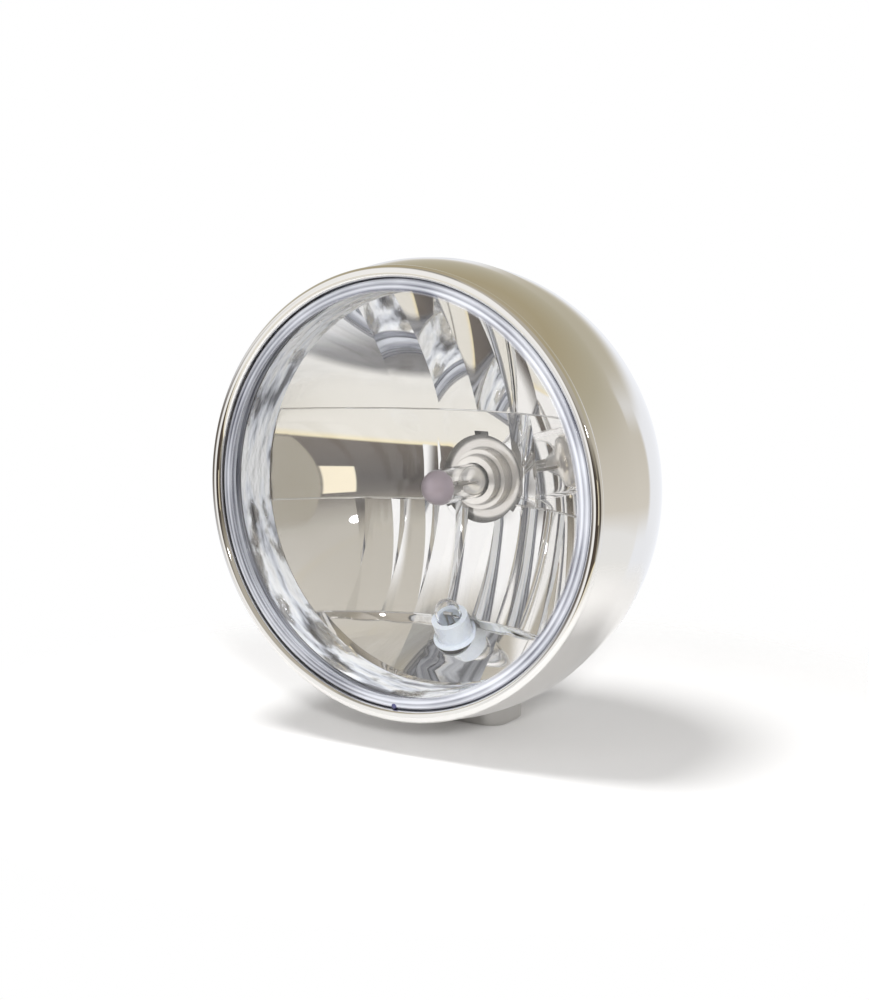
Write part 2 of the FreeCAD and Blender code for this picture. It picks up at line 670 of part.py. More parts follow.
def parking_placed(shape):
    lean = math.radians(PARKING_TILT)
    direction = Vector(0, -math.cos(lean), math.sin(lean))
    placed = shape.copy()
    placed.Placement = FreeCAD.Placement(at(0, parking_depth(), -PARKING_DROP),
                                         FreeCAD.Rotation(Vector(0, 0, 1), direction))
    return placed


def parking_hole_radius():
    return HOLDER_RADIUS + PARKING_SEAL_WALL + 2 * PARKING_CLEARANCE


def parking_seal():
    """Rubber sleeve with a flange, between the reflector's boss and the bulb holder."""
    bore = HOLDER_RADIUS + PARKING_CLEARANCE
    sleeve = bore + PARKING_SEAL_WALL
    back = -PARKING_BOSS_DEPTH - PARKING_SEAL_FLANGE
    return parking_turned([(0, bore), (0, sleeve), (-PARKING_BOSS_DEPTH, sleeve),
                           (-PARKING_BOSS_DEPTH, HOLDER_FLANGE_RADIUS), (back, HOLDER_FLANGE_RADIUS),
                           (back, bore)])


def parking_bulb_holder():
    """Moulded socket: a cup round the bulb's base in front and a flanged tail behind."""
    bore = PARKING_GLASS_RADIUS + PARKING_CLEARANCE
    flange_front = -PARKING_BOSS_DEPTH - PARKING_SEAL_FLANGE
    flange_back = flange_front - HOLDER_FLANGE_THICKNESS
    return parking_turned([
        (0, 0), (0, bore), (HOLDER_STAND, bore), (HOLDER_STAND, HOLDER_RADIUS),
        (flange_front, HOLDER_RADIUS), (flange_front, HOLDER_FLANGE_RADIUS),
        (flange_back, HOLDER_FLANGE_RADIUS), (flange_back, HOLDER_RADIUS), (-HOLDER_TAIL, HOLDER_RADIUS),
        (-HOLDER_TAIL, 0)])


def parking_bulb_glass():
    """Small clear wedge bulb with a round top and a pinched base in the holder."""
    inner = PARKING_GLASS_RADIUS - PARKING_GLASS_WALL
    shoulder = PARKING_GLASS_LENGTH - PARKING_GLASS_RADIUS
    outside = Part.makeCylinder(PARKING_GLASS_RADIUS, shoulder).fuse(
        Part.makeSphere(PARKING_GLASS_RADIUS, Vector(0, 0, shoulder)))
    inside = Part.makeCylinder(inner, shoulder - PARKING_GLASS_PINCH, Vector(0, 0, PARKING_GLASS_PINCH))
    inside = inside.fuse(Part.makeSphere(inner, Vector(0, 0, shoulder)))
    return parking_placed(outside.cut(inside).removeSplitter())


def parking_bulb_filament():
    """A short coil across two lead wires that stand on the bulb's pinch."""
    leads = [Part.makeCylinder(WIRE_RADIUS, PARKING_COIL_HEIGHT - PARKING_GLASS_PINCH,
                               Vector(side * PARKING_WIRE_SPREAD, 0, PARKING_GLASS_PINCH))
             for side in (-1, 1)]
    coil = Part.makeCylinder(COIL_RADIUS, 2 * (PARKING_WIRE_SPREAD + WIRE_RADIUS),
                             Vector(-PARKING_WIRE_SPREAD - WIRE_RADIUS, 0, PARKING_COIL_HEIGHT),
                             Vector(1, 0, 0))
    return parking_placed(coil.fuse(leads))


# Clamping of the optical unit in the trim ring

def lug_radius():
    """Middle of a lug's screw, as far in as its wall allows."""
    return FLANGE_RADIUS + LUG_GAP + RETAINER_SCREW_WALL + RETAINER_SCREW_RADIUS


def round_the_ring(shape):
    """Copies of a piece made at the top, spread evenly between top, sides and bottom."""
    step = FULL_TURN / LUG_COUNT
    return [spun(shape, step * (n + 0.5)) for n in range(LUG_COUNT)]


def retaining_ring():
    """Stepped pressing: a pad on the reflector's flange and a wider flange screwed to the lugs."""
    pad_inner = SIDE_RADIUS + RETAINER_GAP
    riser_inner = FLANGE_RADIUS - RETAINER_SHEET
    outer = skirt_radius(RETAINER_DEPTH, SHEET) - RETAINER_CLEARANCE
    pad_back = FLANGE_BACK + RETAINER_SHEET
    back = RETAINER_DEPTH + RETAINER_SHEET
    ring = turned_polygon([
        (FLANGE_BACK, pad_inner), (FLANGE_BACK, FLANGE_RADIUS), (RETAINER_DEPTH, FLANGE_RADIUS),
        (RETAINER_DEPTH, outer), (back, outer), (back, riser_inner), (pad_back, riser_inner),
        (pad_back, pad_inner)])
    radius = RETAINER_SCREW_RADIUS + HOLE_CLEARANCE
    hole_front = RETAINER_DEPTH - RETAINER_SHEET / 2
    hole = Part.makeCylinder(radius, 2 * RETAINER_SHEET, at(0, hole_front, lug_radius()), AXIS_DIRECTION)
    return ring.cut(round_the_ring(hole))


def rim_lugs():
    """Tapped lugs welded inside the trim ring's skirt."""
    front = RETAINER_DEPTH - LUG_LENGTH
    lug = block(LUG_WIDTH, front, RETAINER_DEPTH, FLANGE_RADIUS + LUG_GAP, SKIRT_RADIUS)
    lug = lug.common(inside_of_skirt(front - SHEET, RETAINER_DEPTH + SHEET))
    thread = RETAINER_SCREW_RADIUS + THREAD_CLEARANCE
    hole_length = RETAINER_SCREW_REACH + RETAINER_SCREW_END
    hole_front = RETAINER_DEPTH - hole_length
    hole = Part.makeCylinder(thread, hole_length, at(0, hole_front, lug_radius()), AXIS_DIRECTION)
    return Part.makeCompound(round_the_ring(lug.cut(hole)))


def retaining_screws():
    back = RETAINER_DEPTH + RETAINER_SHEET
    shank = Part.makeCylinder(RETAINER_SCREW_RADIUS, RETAINER_SCREW_REACH + RETAINER_SHEET,
                              at(0, RETAINER_DEPTH - RETAINER_SCREW_REACH, lug_radius()), AXIS_DIRECTION)
    head = Part.makeCylinder(RETAINER_HEAD_RADIUS, RETAINER_HEAD_HEIGHT, at(0, back, lug_radius()),
                             AXIS_DIRECTION)
    return Part.makeCompound(round_the_ring(head.fuse(shank)))


# Fixing of the trim ring to the bucket

def hem_inner():
    return BUCKET_RADIUS - SHEET - HEM_WIDTH


def rim_hook():
    """Folded strip welded inside the ring's top, hooked behind the hem of the bucket's mouth."""
    front = MOUTH_DEPTH - HOOK_CLEARANCE - HOOK_SHEET
    weld_front = front - HOOK_WELD
    weld = skirt_radius(weld_front, SHEET) - HOOK_SHEET
    under = math.sqrt(hem_inner() ** 2 - (HOOK_WIDTH / 2) ** 2) - HOOK_CLEARANCE
    behind = MOUTH_DEPTH + SHEET + HOOK_CLEARANCE
    outline = [
        (weld_front, weld), (weld_front, SKIRT_RADIUS), (front + HOOK_SHEET, SKIRT_RADIUS),
        (front + HOOK_SHEET, under), (behind, under), (behind, under + HEM_WIDTH / 2),
        (behind + HOOK_SHEET, under + HEM_WIDTH / 2), (behind + HOOK_SHEET, under - HOOK_SHEET),
        (front, under - HOOK_SHEET), (front, weld)]
    corners = [at(-HOOK_WIDTH / 2, depth, radius) for depth, radius in outline]
    strip = Part.Face(Part.makePolygon(corners + [corners[0]])).extrude(Vector(HOOK_WIDTH, 0, 0))
    outside = disc(2 * SKIRT_RADIUS, weld_front - SHEET, behind + 4 * HOOK_SHEET).cut(
        inside_of_skirt(weld_front - SHEET, SKIRT_CROWN_DEPTH).fuse(
            disc(SKIRT_RADIUS - SHEET, SKIRT_CROWN_DEPTH, behind + 4 * HOOK_SHEET)))
    return strip.cut(outside)


def rim_nut():
    """Weld nut inside the bottom of the bucket's mouth."""
    inner = BUCKET_RADIUS - SHEET
    nut = block(RIM_NUT_WIDTH, RIM_SCREW_DEPTH - RIM_NUT_LENGTH / 2, RIM_SCREW_DEPTH + RIM_NUT_LENGTH / 2,
                -inner - SPARE, -inner + RIM_NUT_HEIGHT)
    nut = nut.common(disc(inner, MOUTH_DEPTH, BOWL_START))
    thread = RIM_SCREW_RADIUS + THREAD_CLEARANCE
    above = at(0, RIM_SCREW_DEPTH, -SKIRT_RADIUS + 3 * SPARE)
    return nut.cut(Part.makeCylinder(thread, 4 * SPARE, above, DOWN))


def rim_screw():
    """Pan head screw, upwards through ring and bucket into the weld nut."""
    shank_length = SKIRT_RADIUS - BUCKET_RADIUS + SHEET + RIM_NUT_HEIGHT
    seat = at(0, RIM_SCREW_DEPTH, -SKIRT_RADIUS)
    shank = Part.makeCylinder(RIM_SCREW_RADIUS, shank_length, seat)
    head = Part.makeCylinder(RIM_SCREW_HEAD_RADIUS, RIM_SCREW_HEAD_HEIGHT, seat, DOWN)
    lower = [e for e in head.Edges if e.BoundBox.ZMax < seat.z - RIM_SCREW_HEAD_HEIGHT / 2]
    return head.makeFillet(RIM_SCREW_HEAD_HEIGHT / 2, lower).fuse(shank)


# Bucket

def bowl_radius(depth, inset=0.0):
    share = (depth - BOWL_START) / (BOWL_DEPTH - inset)
    return (BUCKET_RADIUS - inset) * math.sqrt(1 - share ** 2)


def bowl_curve(inset):
    """The elliptical section of the bowl from its band to the flat at the rear."""
    along = BOWL_DEPTH - inset
    across = BUCKET_RADIUS - inset
    centre = on_section(BOWL_START, 0)
    far, near = (along, across) if along > across else (across, along)
    major = Vector(0, far, 0) if along > across else Vector(0, 0, far)
    minor = Vector(0, 0, near) if along > across else Vector(0, near, 0)
    ellipse = Part.Ellipse(centre + major, centre + minor, centre)
    start = on_section(BOWL_START, across)
    end = on_section(REAR_DEPTH - inset, rear_radius(inset))
    limits = [ellipse.parameter(start), ellipse.parameter(end)]
    turn = 2 * math.pi
    if abs(limits[1] - limits[0]) > math.pi:
        limits = [v - turn if v > math.pi else v for v in limits]
    return Part.ArcOfEllipse(ellipse, min(limits), max(limits)).toShape()


def rear_radius(inset):
    """Where the bowl's section meets the flat at the rear."""
    return bowl_radius(REAR_DEPTH - inset, inset)


def bowl_filled(inset, front):
    """The bucket's outer form made solid, or the form that lies inset within it."""
    radius = BUCKET_RADIUS - inset
    return turned([
        line((front, 0), (front, radius)), line((front, radius), (BOWL_START, radius)), bowl_curve(inset),
        line((REAR_DEPTH - inset, rear_radius(inset)), (REAR_DEPTH - inset, 0)),
        line((REAR_DEPTH - inset, 0), (front, 0))])


def bucket():
    """Drawn bowl with a hemmed mouth, a cable hole and the holes of its screws."""
    shell = bowl_filled(0, MOUTH_DEPTH).cut(bowl_filled(SHEET, MOUTH_DEPTH + SHEET))
    mouth = disc(hem_inner(), MOUTH_DEPTH - SPARE, MOUTH_DEPTH + 2 * SHEET)
    cable_hole = disc(GROMMET_NECK_RADIUS + GROMMET_CLEARANCE, REAR_DEPTH - SPARE, REAR_DEPTH + SPARE)
    holes = mount_drillings(MOUNT_SCREW_RADIUS + HOLE_CLEARANCE, -2 * SPARE, 2 * SPARE)
    return shell.cut([mouth, cable_hole, rim_screw_hole()] + holes)


def cable_grommet():
    """Rubber grommet with a groove for the sheet, in the middle of the bucket's rear."""
    inside = REAR_DEPTH - SHEET
    front = inside - GROMMET_FLANGE_THICKNESS
    back = REAR_DEPTH + GROMMET_FLANGE_THICKNESS
    narrow = GROMMET_FLANGE_RADIUS - GROMMET_TAPER
    return turned_polygon([
        (front, GROMMET_BORE_RADIUS), (front, narrow), (inside, GROMMET_FLANGE_RADIUS),
        (inside, GROMMET_NECK_RADIUS), (REAR_DEPTH, GROMMET_NECK_RADIUS),
        (REAR_DEPTH, GROMMET_FLANGE_RADIUS), (back, narrow), (back, GROMMET_BORE_RADIUS)])


# Mount

def bowl_slope(depth):
    share = (depth - BOWL_START) / BOWL_DEPTH
    return -BUCKET_RADIUS / BOWL_DEPTH * share / math.sqrt(1 - share ** 2)


def mount_drillings(radius, inner, outer):
    """Cylinders square to the bowl at the two mount screws, from inner to outer past its outer face."""
    slope = bowl_slope(MOUNT_DEPTH)
    steep = math.hypot(slope, 1)
    face = bowl_radius(MOUNT_DEPTH)
    outwards = Vector(0, -slope / steep, -1 / steep)
    start = at(0, MOUNT_DEPTH, -face) + outwards * inner
    drilling = Part.makeCylinder(radius, outer - inner, start, outwards)
    swing = math.degrees(math.asin(MOUNT_SCREW_SPREAD / face))
    return [spun(drilling, swing), spun(drilling, -swing)]


def mount_saddle():
    """Block with rounded corners, hollowed to the bucket above and tapped from below."""
    height = AXIS_HEIGHT - bowl_radius(MOUNT_DEPTH + SADDLE_LENGTH / 2) + SPARE
    blank = Part.makeBox(SADDLE_WIDTH, SADDLE_LENGTH, height,
                         Vector(-SADDLE_WIDTH / 2, -SADDLE_LENGTH / 2, 0))
    upright = [e for e in blank.Edges if e.BoundBox.ZLength > height / 2]
    blank = blank.makeFillet(SADDLE_CORNER, upright)
    lower = [e for e in blank.Edges if e.BoundBox.ZMax < height / 2]
    blank = blank.makeChamfer(SADDLE_CHAMFER, lower)
    thread = Part.makeCylinder(THREAD_RADIUS, THREAD_DEPTH)
    screws = mount_drillings(MOUNT_SCREW_RADIUS + THREAD_CLEARANCE, -SPARE,
                             MOUNT_SCREW_REACH + MOUNT_SCREW_END)
    return blank.cut([bowl_filled(0, MOUTH_DEPTH), thread] + screws)


def mount_plate():
    """Curved plate inside the bucket, under the heads of the mount screws."""
    near = SHEET + PLATE_CLEARANCE
    layer = bowl_filled(near, BOWL_START - SPARE).cut(bowl_filled(near + PLATE_THICKNESS, BOWL_START - SPARE))
    face = bowl_radius(MOUNT_DEPTH)
    area = block(PLATE_WIDTH, MOUNT_DEPTH - PLATE_LENGTH / 2, MOUNT_DEPTH + PLATE_LENGTH / 2,
                 -face - 4 * SPARE, -face / 2)
    return layer.common(area).cut(mount_drillings(MOUNT_SCREW_RADIUS + HOLE_CLEARANCE, -2 * SPARE, 2 * SPARE))


def mount_screws():
    under_head = -SHEET - PLATE_CLEARANCE - PLATE_THICKNESS - MOUNT_HEAD_LIFT
    shanks = mount_drillings(MOUNT_SCREW_RADIUS, under_head, MOUNT_SCREW_REACH)
    heads = mount_drillings(MOUNT_HEAD_RADIUS, under_head - MOUNT_HEAD_HEIGHT, under_head)
    return Part.makeCompound([head.fuse(shank) for head, shank in zip(heads, shanks)])


PIECES = {
    "trim_ring": trim_ring,
    "rim_gasket": rim_gasket,
    "lens": lens,
    "lens_seal": lens_seal,
    "reflector": reflector,
    "bulb_base": bulb_base,
    "bulb_glass": bulb_glass,
    "bulb_filaments": bulb_filaments,
    "bulb_insulator": bulb_insulator,
    "bulb_terminals": lambda: Part.makeCompound(terminals()),
    "bulb_lock_ring": bulb_lock_ring,
    "bulb_boot": bulb_boot,
    "parking_seal": parking_seal,
    "parking_bulb_holder": parking_bulb_holder,
    "parking_bulb_glass": parking_bulb_glass,
    "parking_bulb_filament": parking_bulb_filament,
    "retaining_ring": retaining_ring,
    "rim_lugs": rim_lugs,
    "retaining_screws": retaining_screws,
    "rim_hook": rim_hook,
    "rim_nut": rim_nut,
    "rim_screw": rim_screw,
    "bucket": bucket,
    "cable_grommet": cable_grommet,
    "mount_saddle": mount_saddle,
    "mount_plate": mount_plate,
    "mount_screws": mount_screws,
}

os.makedirs("parts", exist_ok=True)
for name, make in PIECES.items():
    shape = make()
    print(name, len(shape.Solids), shape.isValid(), round(shape.Volume, 1))
    shape.exportStep("parts/" + name + ".step")
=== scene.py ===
import math

import bpy
import mathutils
import numpy as np
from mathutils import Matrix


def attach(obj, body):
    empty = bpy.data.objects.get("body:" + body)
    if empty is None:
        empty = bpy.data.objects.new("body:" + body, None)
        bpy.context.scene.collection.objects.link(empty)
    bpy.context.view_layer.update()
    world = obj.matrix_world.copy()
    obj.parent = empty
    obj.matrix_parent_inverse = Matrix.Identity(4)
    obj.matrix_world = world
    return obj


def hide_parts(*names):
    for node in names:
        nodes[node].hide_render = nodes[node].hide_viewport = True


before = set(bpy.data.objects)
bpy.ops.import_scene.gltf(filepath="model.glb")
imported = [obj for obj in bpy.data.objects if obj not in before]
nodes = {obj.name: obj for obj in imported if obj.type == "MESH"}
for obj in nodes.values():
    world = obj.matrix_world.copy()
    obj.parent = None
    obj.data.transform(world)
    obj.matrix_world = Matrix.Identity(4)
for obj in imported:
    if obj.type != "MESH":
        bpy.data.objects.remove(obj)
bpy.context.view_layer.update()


# Reflector: a moulded bowl whose inside is coated with bright aluminium. Its face is cut into four
# zones of plain panels and upright flutes, which throw the beam without any pattern in the lens.
# The coating is laid here as a fine skin just in front of the solid's own facets.

ring_corners = np.round(1000 * np.array(nodes["trim_ring"].bound_box), 1)
BEAD_FRONT = ring_corners[:, 1].min()
AXIS_HEIGHT = (ring_corners[:, 2].min() + ring_corners[:, 2].max()) / 2
BOWL_VERTEX = 78.0
BOWL_RADIUS = 84.5
BOWL_DEPTH = 47.0
BOWL_FOCAL = BOWL_RADIUS ** 2 / (4 * BOWL_DEPTH)
BULB_CLEAR = 22.0
PARKING_CLEAR = 11.6
# A zone is its bottom and top, its flutes' edges at the right of the middle, their crown, and its set back.
FACET_ZONES = [
    (31.0, 90.0, [0.0, 18.0, 36.0], 0.8, 0.0),
    (-10.5, 31.0, [15.0, 28.7], 0.6, 0.9),
    (-59.5, -10.5, [7.0, 21.0, 35.0, 49.0], 0.8, 0.3),
    (-90.0, -59.5, [22.0], 1.0, 6.0),
]
COAT_LIFT = 0.14
COAT_CELL = 0.75
COAT_RIM_GAP = 0.05
COAT_SIDE_GAP = 0.08


class Flow:
    """A socket in a node tree. Sums and products of flows add Math nodes, and node() adds any other."""

    def __init__(self, tree, socket=None):
        self.tree = tree
        self.socket = socket

    def node(self, kind, settings=None, inputs=None, out=0):
        """Add a node, make its settings, feed its sockets with values or flows, and give one output."""
        made = self.tree.nodes.new(kind)
        for key, value in (settings or {}).items():
            if key == "stops":
                ramp = made.color_ramp
                for _ in range(len(value) - 2):
                    ramp.elements.new(0.5)
                for stop, (place, colour) in zip(ramp.elements, value):
                    stop.position = place
                    stop.color = (*colour, 1.0)
            else:
                setattr(made, key, value)
        for key, value in (inputs or {}).items():
            if isinstance(value, Flow):
                self.tree.links.new(value.socket, made.inputs[key])
            else:
                made.inputs[key].default_value = value
        return Flow(self.tree, made.outputs[out] if made.outputs else None)

    def __add__(self, other):
        return self.node("ShaderNodeMath", {"operation": "ADD"}, {0: self, 1: other})

    def __sub__(self, other):
        return self.node("ShaderNodeMath", {"operation": "SUBTRACT"}, {0: self, 1: other})

    def __rsub__(self, other):
        return self.node("ShaderNodeMath", {"operation": "SUBTRACT"}, {0: other, 1: self})

    def __mul__(self, other):
        return self.node("ShaderNodeMath", {"operation": "MULTIPLY"}, {0: self, 1: other})

    __radd__ = __add__
    __rmul__ = __mul__


def new_finish(name):
    """An empty material and the flow that builds its nodes."""
    material = bpy.data.materials.new(name)
    material.use_nodes = True
    material.node_tree.nodes.clear()
    return material, Flow(material.node_tree)


def cloud(flow, size, detail=2.0):
    """Soft noise from 0 to 1 in the piece's own space, with features about size millimetres across."""
    place = flow.node("ShaderNodeTexCoord", out="Object")
    return flow.node("ShaderNodeTexNoise", {}, {"Vector": place, "Scale": 1000.0 / size, "Detail": detail})


def tint(flow, amount, low, high):
    """A colour between two, by an amount from 0 to 1."""
    return flow.node("ShaderNodeValToRGB", {"stops": [(0.0, low), (1.0, high)]}, {"Fac": amount})


def coated(name, inputs):
    """A material of one Principled shader, from a function of the flow that gives its inputs."""
    material, flow = new_finish(name)
    surface = flow.node("ShaderNodeBsdfPrincipled", {}, inputs(flow))
    flow.node("ShaderNodeOutputMaterial", {}, {"Surface": surface})
    return material


def dress(material, *names):
    """Put a material on CAD nodes."""
    for name in names:
        nodes[name].data.materials.clear()
        nodes[name].data.materials.append(material)


def lamp_points(x, depth, height):
    """Points in metres from millimetres across, behind the bead and above the lamp's axis."""
    x, depth, height = np.broadcast_arrays(x, depth, height)
    return np.stack([x, depth + BEAD_FRONT, height + AXIS_HEIGHT], axis=-1) / 1000


def add_piece(name, points, faces, material):
    """One smooth shaded mesh that rides with the lamp."""
    mesh = bpy.data.meshes.new(name)
    mesh.from_pydata(points.tolist(), [], faces)
    mesh.polygons.foreach_set("use_smooth", np.ones(len(faces), dtype=bool))
    mesh.update()
    mesh.materials.append(material)
    piece = bpy.data.objects.new(name, mesh)
    bpy.context.scene.collection.objects.link(piece)
    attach(piece, "root")
    return piece


def gridded_piece(name, grids, material):
    """One mesh from grids of points: the quads of each grid join a point to its next row and column."""
    points = np.concatenate([grid.reshape(-1, 3) for grid in grids])
    quads = []
    start = 0
    for grid in grids:
        rows, columns = grid.shape[:2]
        index = start + np.arange(rows * columns).reshape(rows, columns)
        corners = [index[:-1, :-1], index[:-1, 1:], index[1:, 1:], index[1:, :-1]]
        quads.append(np.stack(corners, axis=-1).reshape(-1, 4))
        start += rows * columns
    return add_piece(name, points, np.concatenate(quads).tolist(), material)


def flute_edges(edges):
    """Edges of a zone's flutes on both sides of the middle, from left to right."""
    return sorted(set([-edge for edge in edges] + edges))


def bowl_depth(x, z, set_back):
    """Depth of the bowl: its vertex and set back, less the squared distance from the axis over four times
    the focal length."""
    return BOWL_VERTEX + set_back - (x ** 2 + z ** 2) / (4 * BOWL_FOCAL)


def flute_bulge(x, left, right, crown):
    """A flute's rise towards the lens: a parabola, full crown in its middle and nothing at its edges."""
    return crown * (1 - ((2 * x - left - right) / (right - left)) ** 2)


def coat_grid(start, end, column, zone, crown, set_back):
    """Grid over part of a column. Depth is the bowl's, less the flute's bulge and the coat's lift. Rows
    share out the height from the zone's bottom to its top, cut short by the rim and the bulb's circle."""
    low, high = zone
    across = np.linspace(start, end, 2 + int((end - start) / COAT_CELL))
    reach = np.sqrt(np.maximum((BOWL_RADIUS - COAT_RIM_GAP) ** 2 - across ** 2, 0.0))
    bulb = np.sqrt(np.maximum(BULB_CLEAR ** 2 - across ** 2, 0.0))
    beside = np.abs(across) > BULB_CLEAR - 1e-6
    bottom = np.maximum(low, -reach)
    top = np.minimum(high, reach)
    if low < 0.0 < high:
        bottom = np.where(beside, bottom, np.maximum(bottom, bulb))
    elif low < -BULB_CLEAR < high:
        top = np.minimum(top, np.where(beside, top, -bulb))
    share = np.linspace(0.0, 1.0, 2 + int((high - low) / COAT_CELL))[:, None]
    x = across[None, :]
    z = bottom + (top - bottom) * share
    return lamp_points(x, bowl_depth(x, z, set_back) - flute_bulge(x, *column, crown) - COAT_LIFT, z)


def coat_grids():
    """Grids of every facet, split where the bulb's and the parking bulb's holes begin."""
    grids = []
    for low, high, edges, crown, set_back in FACET_ZONES:
        lowest = low == FACET_ZONES[-1][0]
        hole = PARKING_CLEAR if lowest else BULB_CLEAR
        nearest = 0.0 if low < 0.0 < high else min(abs(low), abs(high))
        limit = math.sqrt(BOWL_RADIUS ** 2 - nearest ** 2) - COAT_SIDE_GAP
        stations = [-limit, *flute_edges(edges), limit]
        for left, right in zip(stations, stations[1:]):
            plain = left == -limit or right == limit
            cuts = [left] + [cut for cut in (-hole, hole) if left < cut < right] + [right]
            for start, end in zip(cuts, cuts[1:]):
                over_parking_hole = lowest and abs(start + end) < 1e-6
                if not over_parking_hole:
                    grids.append(coat_grid(start, end, (left, right), (low, high),
                                           0.0 if plain else crown, set_back))
    return grids


# A fin is the flute edge that it stands on and the height where it runs out.
FINS = [(-49.0, -42.0), (-35.0, -48.0), (-21.0, -55.0), (-7.0, -58.0)]
FIN_FLUTE = 14.0
FIN_LIFT = 2.3
FIN_FOOT = 0.1
FIN_WIDTH = 1.9
FIN_RAMP = 4.5
FIN_TOP_GAP = 0.3
FIN_ROWS = 60


def fin_grids():
    """Tapered steps between the lower flutes. Each rises from its flute along a ramp to a crest, then falls
    steeply to the column's edge, and width and lift shrink in proportion to the height left below it."""
    low, high, edges, crown, set_back = FACET_ZONES[2]
    grids = []
    for edge, end in FINS:
        z = np.linspace(high - FIN_TOP_GAP, end, FIN_ROWS)[:, None]
        left = (z - end) / (high - end)
        x = edge - left * np.array([[FIN_WIDTH + FIN_RAMP, FIN_WIDTH, FIN_WIDTH, 0.0]])
        lift = COAT_LIFT + FIN_FOOT + FIN_LIFT * left * np.array([[0.0, 1.0, 1.0, 0.0]])
        depth = bowl_depth(x, z, set_back) - flute_bulge(x, edge - FIN_FLUTE, edge, crown) - lift
        points = lamp_points(x, depth, z)[::-1]
        grids += [points[:, :2], points[:, 2:]]
    return grids


mirror_coat = coated("mirror coat", lambda flow: {
    "Base Color": tint(flow, cloud(flow, 40), (0.90, 0.885, 0.86), (0.94, 0.93, 0.915)),
    "Metallic": 1.0,
    "Roughness": cloud(flow, 25) * 0.02 + 0.012,
})
dress(mirror_coat, "reflector")
gridded_piece("reflector_coat", coat_grids() + fin_grids(), mirror_coat)


# Ledge edges: where one zone of the bowl stands in front of the next, the moulding's edge is rounded,
# and the coated round shows as a fine bright line.

LEDGE_ROUND = 0.42
LEDGE_SIDES = 12
LEDGE_STEP = 0.6
LEDGE_LIFT = 0.05
LEDGE_RIM_GAP = 0.3
BOTTOM, TOP = 0, 1
# A ledge is its zone, the side of the zone that it runs along, and how far from the middle it begins.
LEDGES = [(0, BOTTOM, 0.0), (2, TOP, 18.0), (2, BOTTOM, 11.5)]


def ledge_path(height, start, end, set_back, edges, crown):
    """Path along a zone's edge at one height: the bowl's depth, less the bulge of the flute it crosses."""
    x = np.linspace(start, end, 2 + int((end - start) / LEDGE_STEP))
    stations = np.array(flute_edges(edges))
    column = np.clip(np.searchsorted(stations, x) - 1, 0, len(stations) - 2)
    inside = (x > stations[0]) & (x < stations[-1])
    bulge = np.where(inside, flute_bulge(x, stations[column], stations[column + 1], crown), 0.0)
    return lamp_points(x, bowl_depth(x, height, set_back) - bulge - LEDGE_LIFT, height)


def tube_rings(path, radius, sides):
    """Rings of a tube along a path of points: each is a circle square to the path, and its first arm is
    the part of one fixed direction that is square to the path there."""
    tangent = np.gradient(path, axis=0)
    tangent /= np.linalg.norm(tangent, axis=1, keepdims=True)
    fixed = np.array([0.31, 0.62, 0.72])
    arm = fixed - tangent * (tangent @ fixed)[:, None]
    arm /= np.linalg.norm(arm, axis=1, keepdims=True)
    other = np.cross(arm, tangent)
    turn = np.linspace(0.0, 2 * np.pi, sides, endpoint=False)[None, :, None]
    return path[:, None, :] + radius * (arm[:, None, :] * np.cos(turn) + other[:, None, :] * np.sin(turn))


def ring_skin(rings, tips=None, loop=False, start=0):
    """Points and faces of a skin over rings of points: each ring closes on itself and joins the next.
    Two tips close its ends, or its last ring joins its first, or its ends stay open."""
    count, steps = rings.shape[:2]
    index = start + np.arange(count * steps).reshape(count, steps)
    after = np.roll(index, -1, axis=1)
    if loop:
        index, after = np.concatenate([index, index[:1]]), np.concatenate([after, after[:1]])
    faces = np.stack([index[:-1], index[1:], after[1:], after[:-1]], axis=-1).reshape(-1, 4).tolist()
    if tips is None:
        return rings.reshape(-1, 3), faces
    tip = start + count * steps
    faces += np.stack([index[0], after[0], np.full(steps, tip)], axis=-1).tolist()
    faces += np.stack([after[-1], index[-1], np.full(steps, tip + 1)], axis=-1).tolist()
    return np.concatenate([rings.reshape(-1, 3), tips]), faces


ledge_points = []
ledge_faces = []
for zone, side, clear in LEDGES:
    low, high, edges, crown, set_back = FACET_ZONES[zone]
    height = FACET_ZONES[zone][side]
    reach = math.sqrt(BOWL_RADIUS ** 2 - height ** 2) - LEDGE_RIM_GAP
    for start, end in ((-reach, -clear), (clear, reach)) if clear else ((-reach, reach),):
        path = ledge_path(height, start, end, set_back, edges, crown)
        points, faces = ring_skin(tube_rings(path, LEDGE_ROUND / 1000, LEDGE_SIDES), path[[0, -1]],
                                  start=sum(map(len, ledge_points)))
        ledge_points.append(points)
        ledge_faces += faces
add_piece("ledge_edges", np.concatenate(ledge_points), ledge_faces, mirror_coat)


# Side wall: the short straight wall round the bowl's mouth is coated over a grained moulding, so it is
# satin bright and glitters unevenly all round inside the lens, partly from its bumps and partly from
# streaks of painted glints and painted dark reflections in its colour.

WALL_MOUTH_RADIUS = 86.1
WALL_MOUTH_DEPTH = 12.0
WALL_FOOT_DEPTH = BOWL_VERTEX - BOWL_DEPTH
WALL_COAT = 0.12
WALL_END_GAP = 0.2


def between(value, start, end):
    """0 before start, 1 after end, with a soft step; the two may be given in either order."""
    return value.node("ShaderNodeMapRange", {"interpolation_type": "SMOOTHSTEP"}, {
        "Value": value, "From Min": start, "From Max": end})


def bumped(flow, height, depth):
    """A normal roughened by a height from 0 to 1 that stands for depth millimetres."""
    return flow.node("ShaderNodeBump", {}, {"Height": height, "Distance": depth / 1000, "Strength": 1.0})


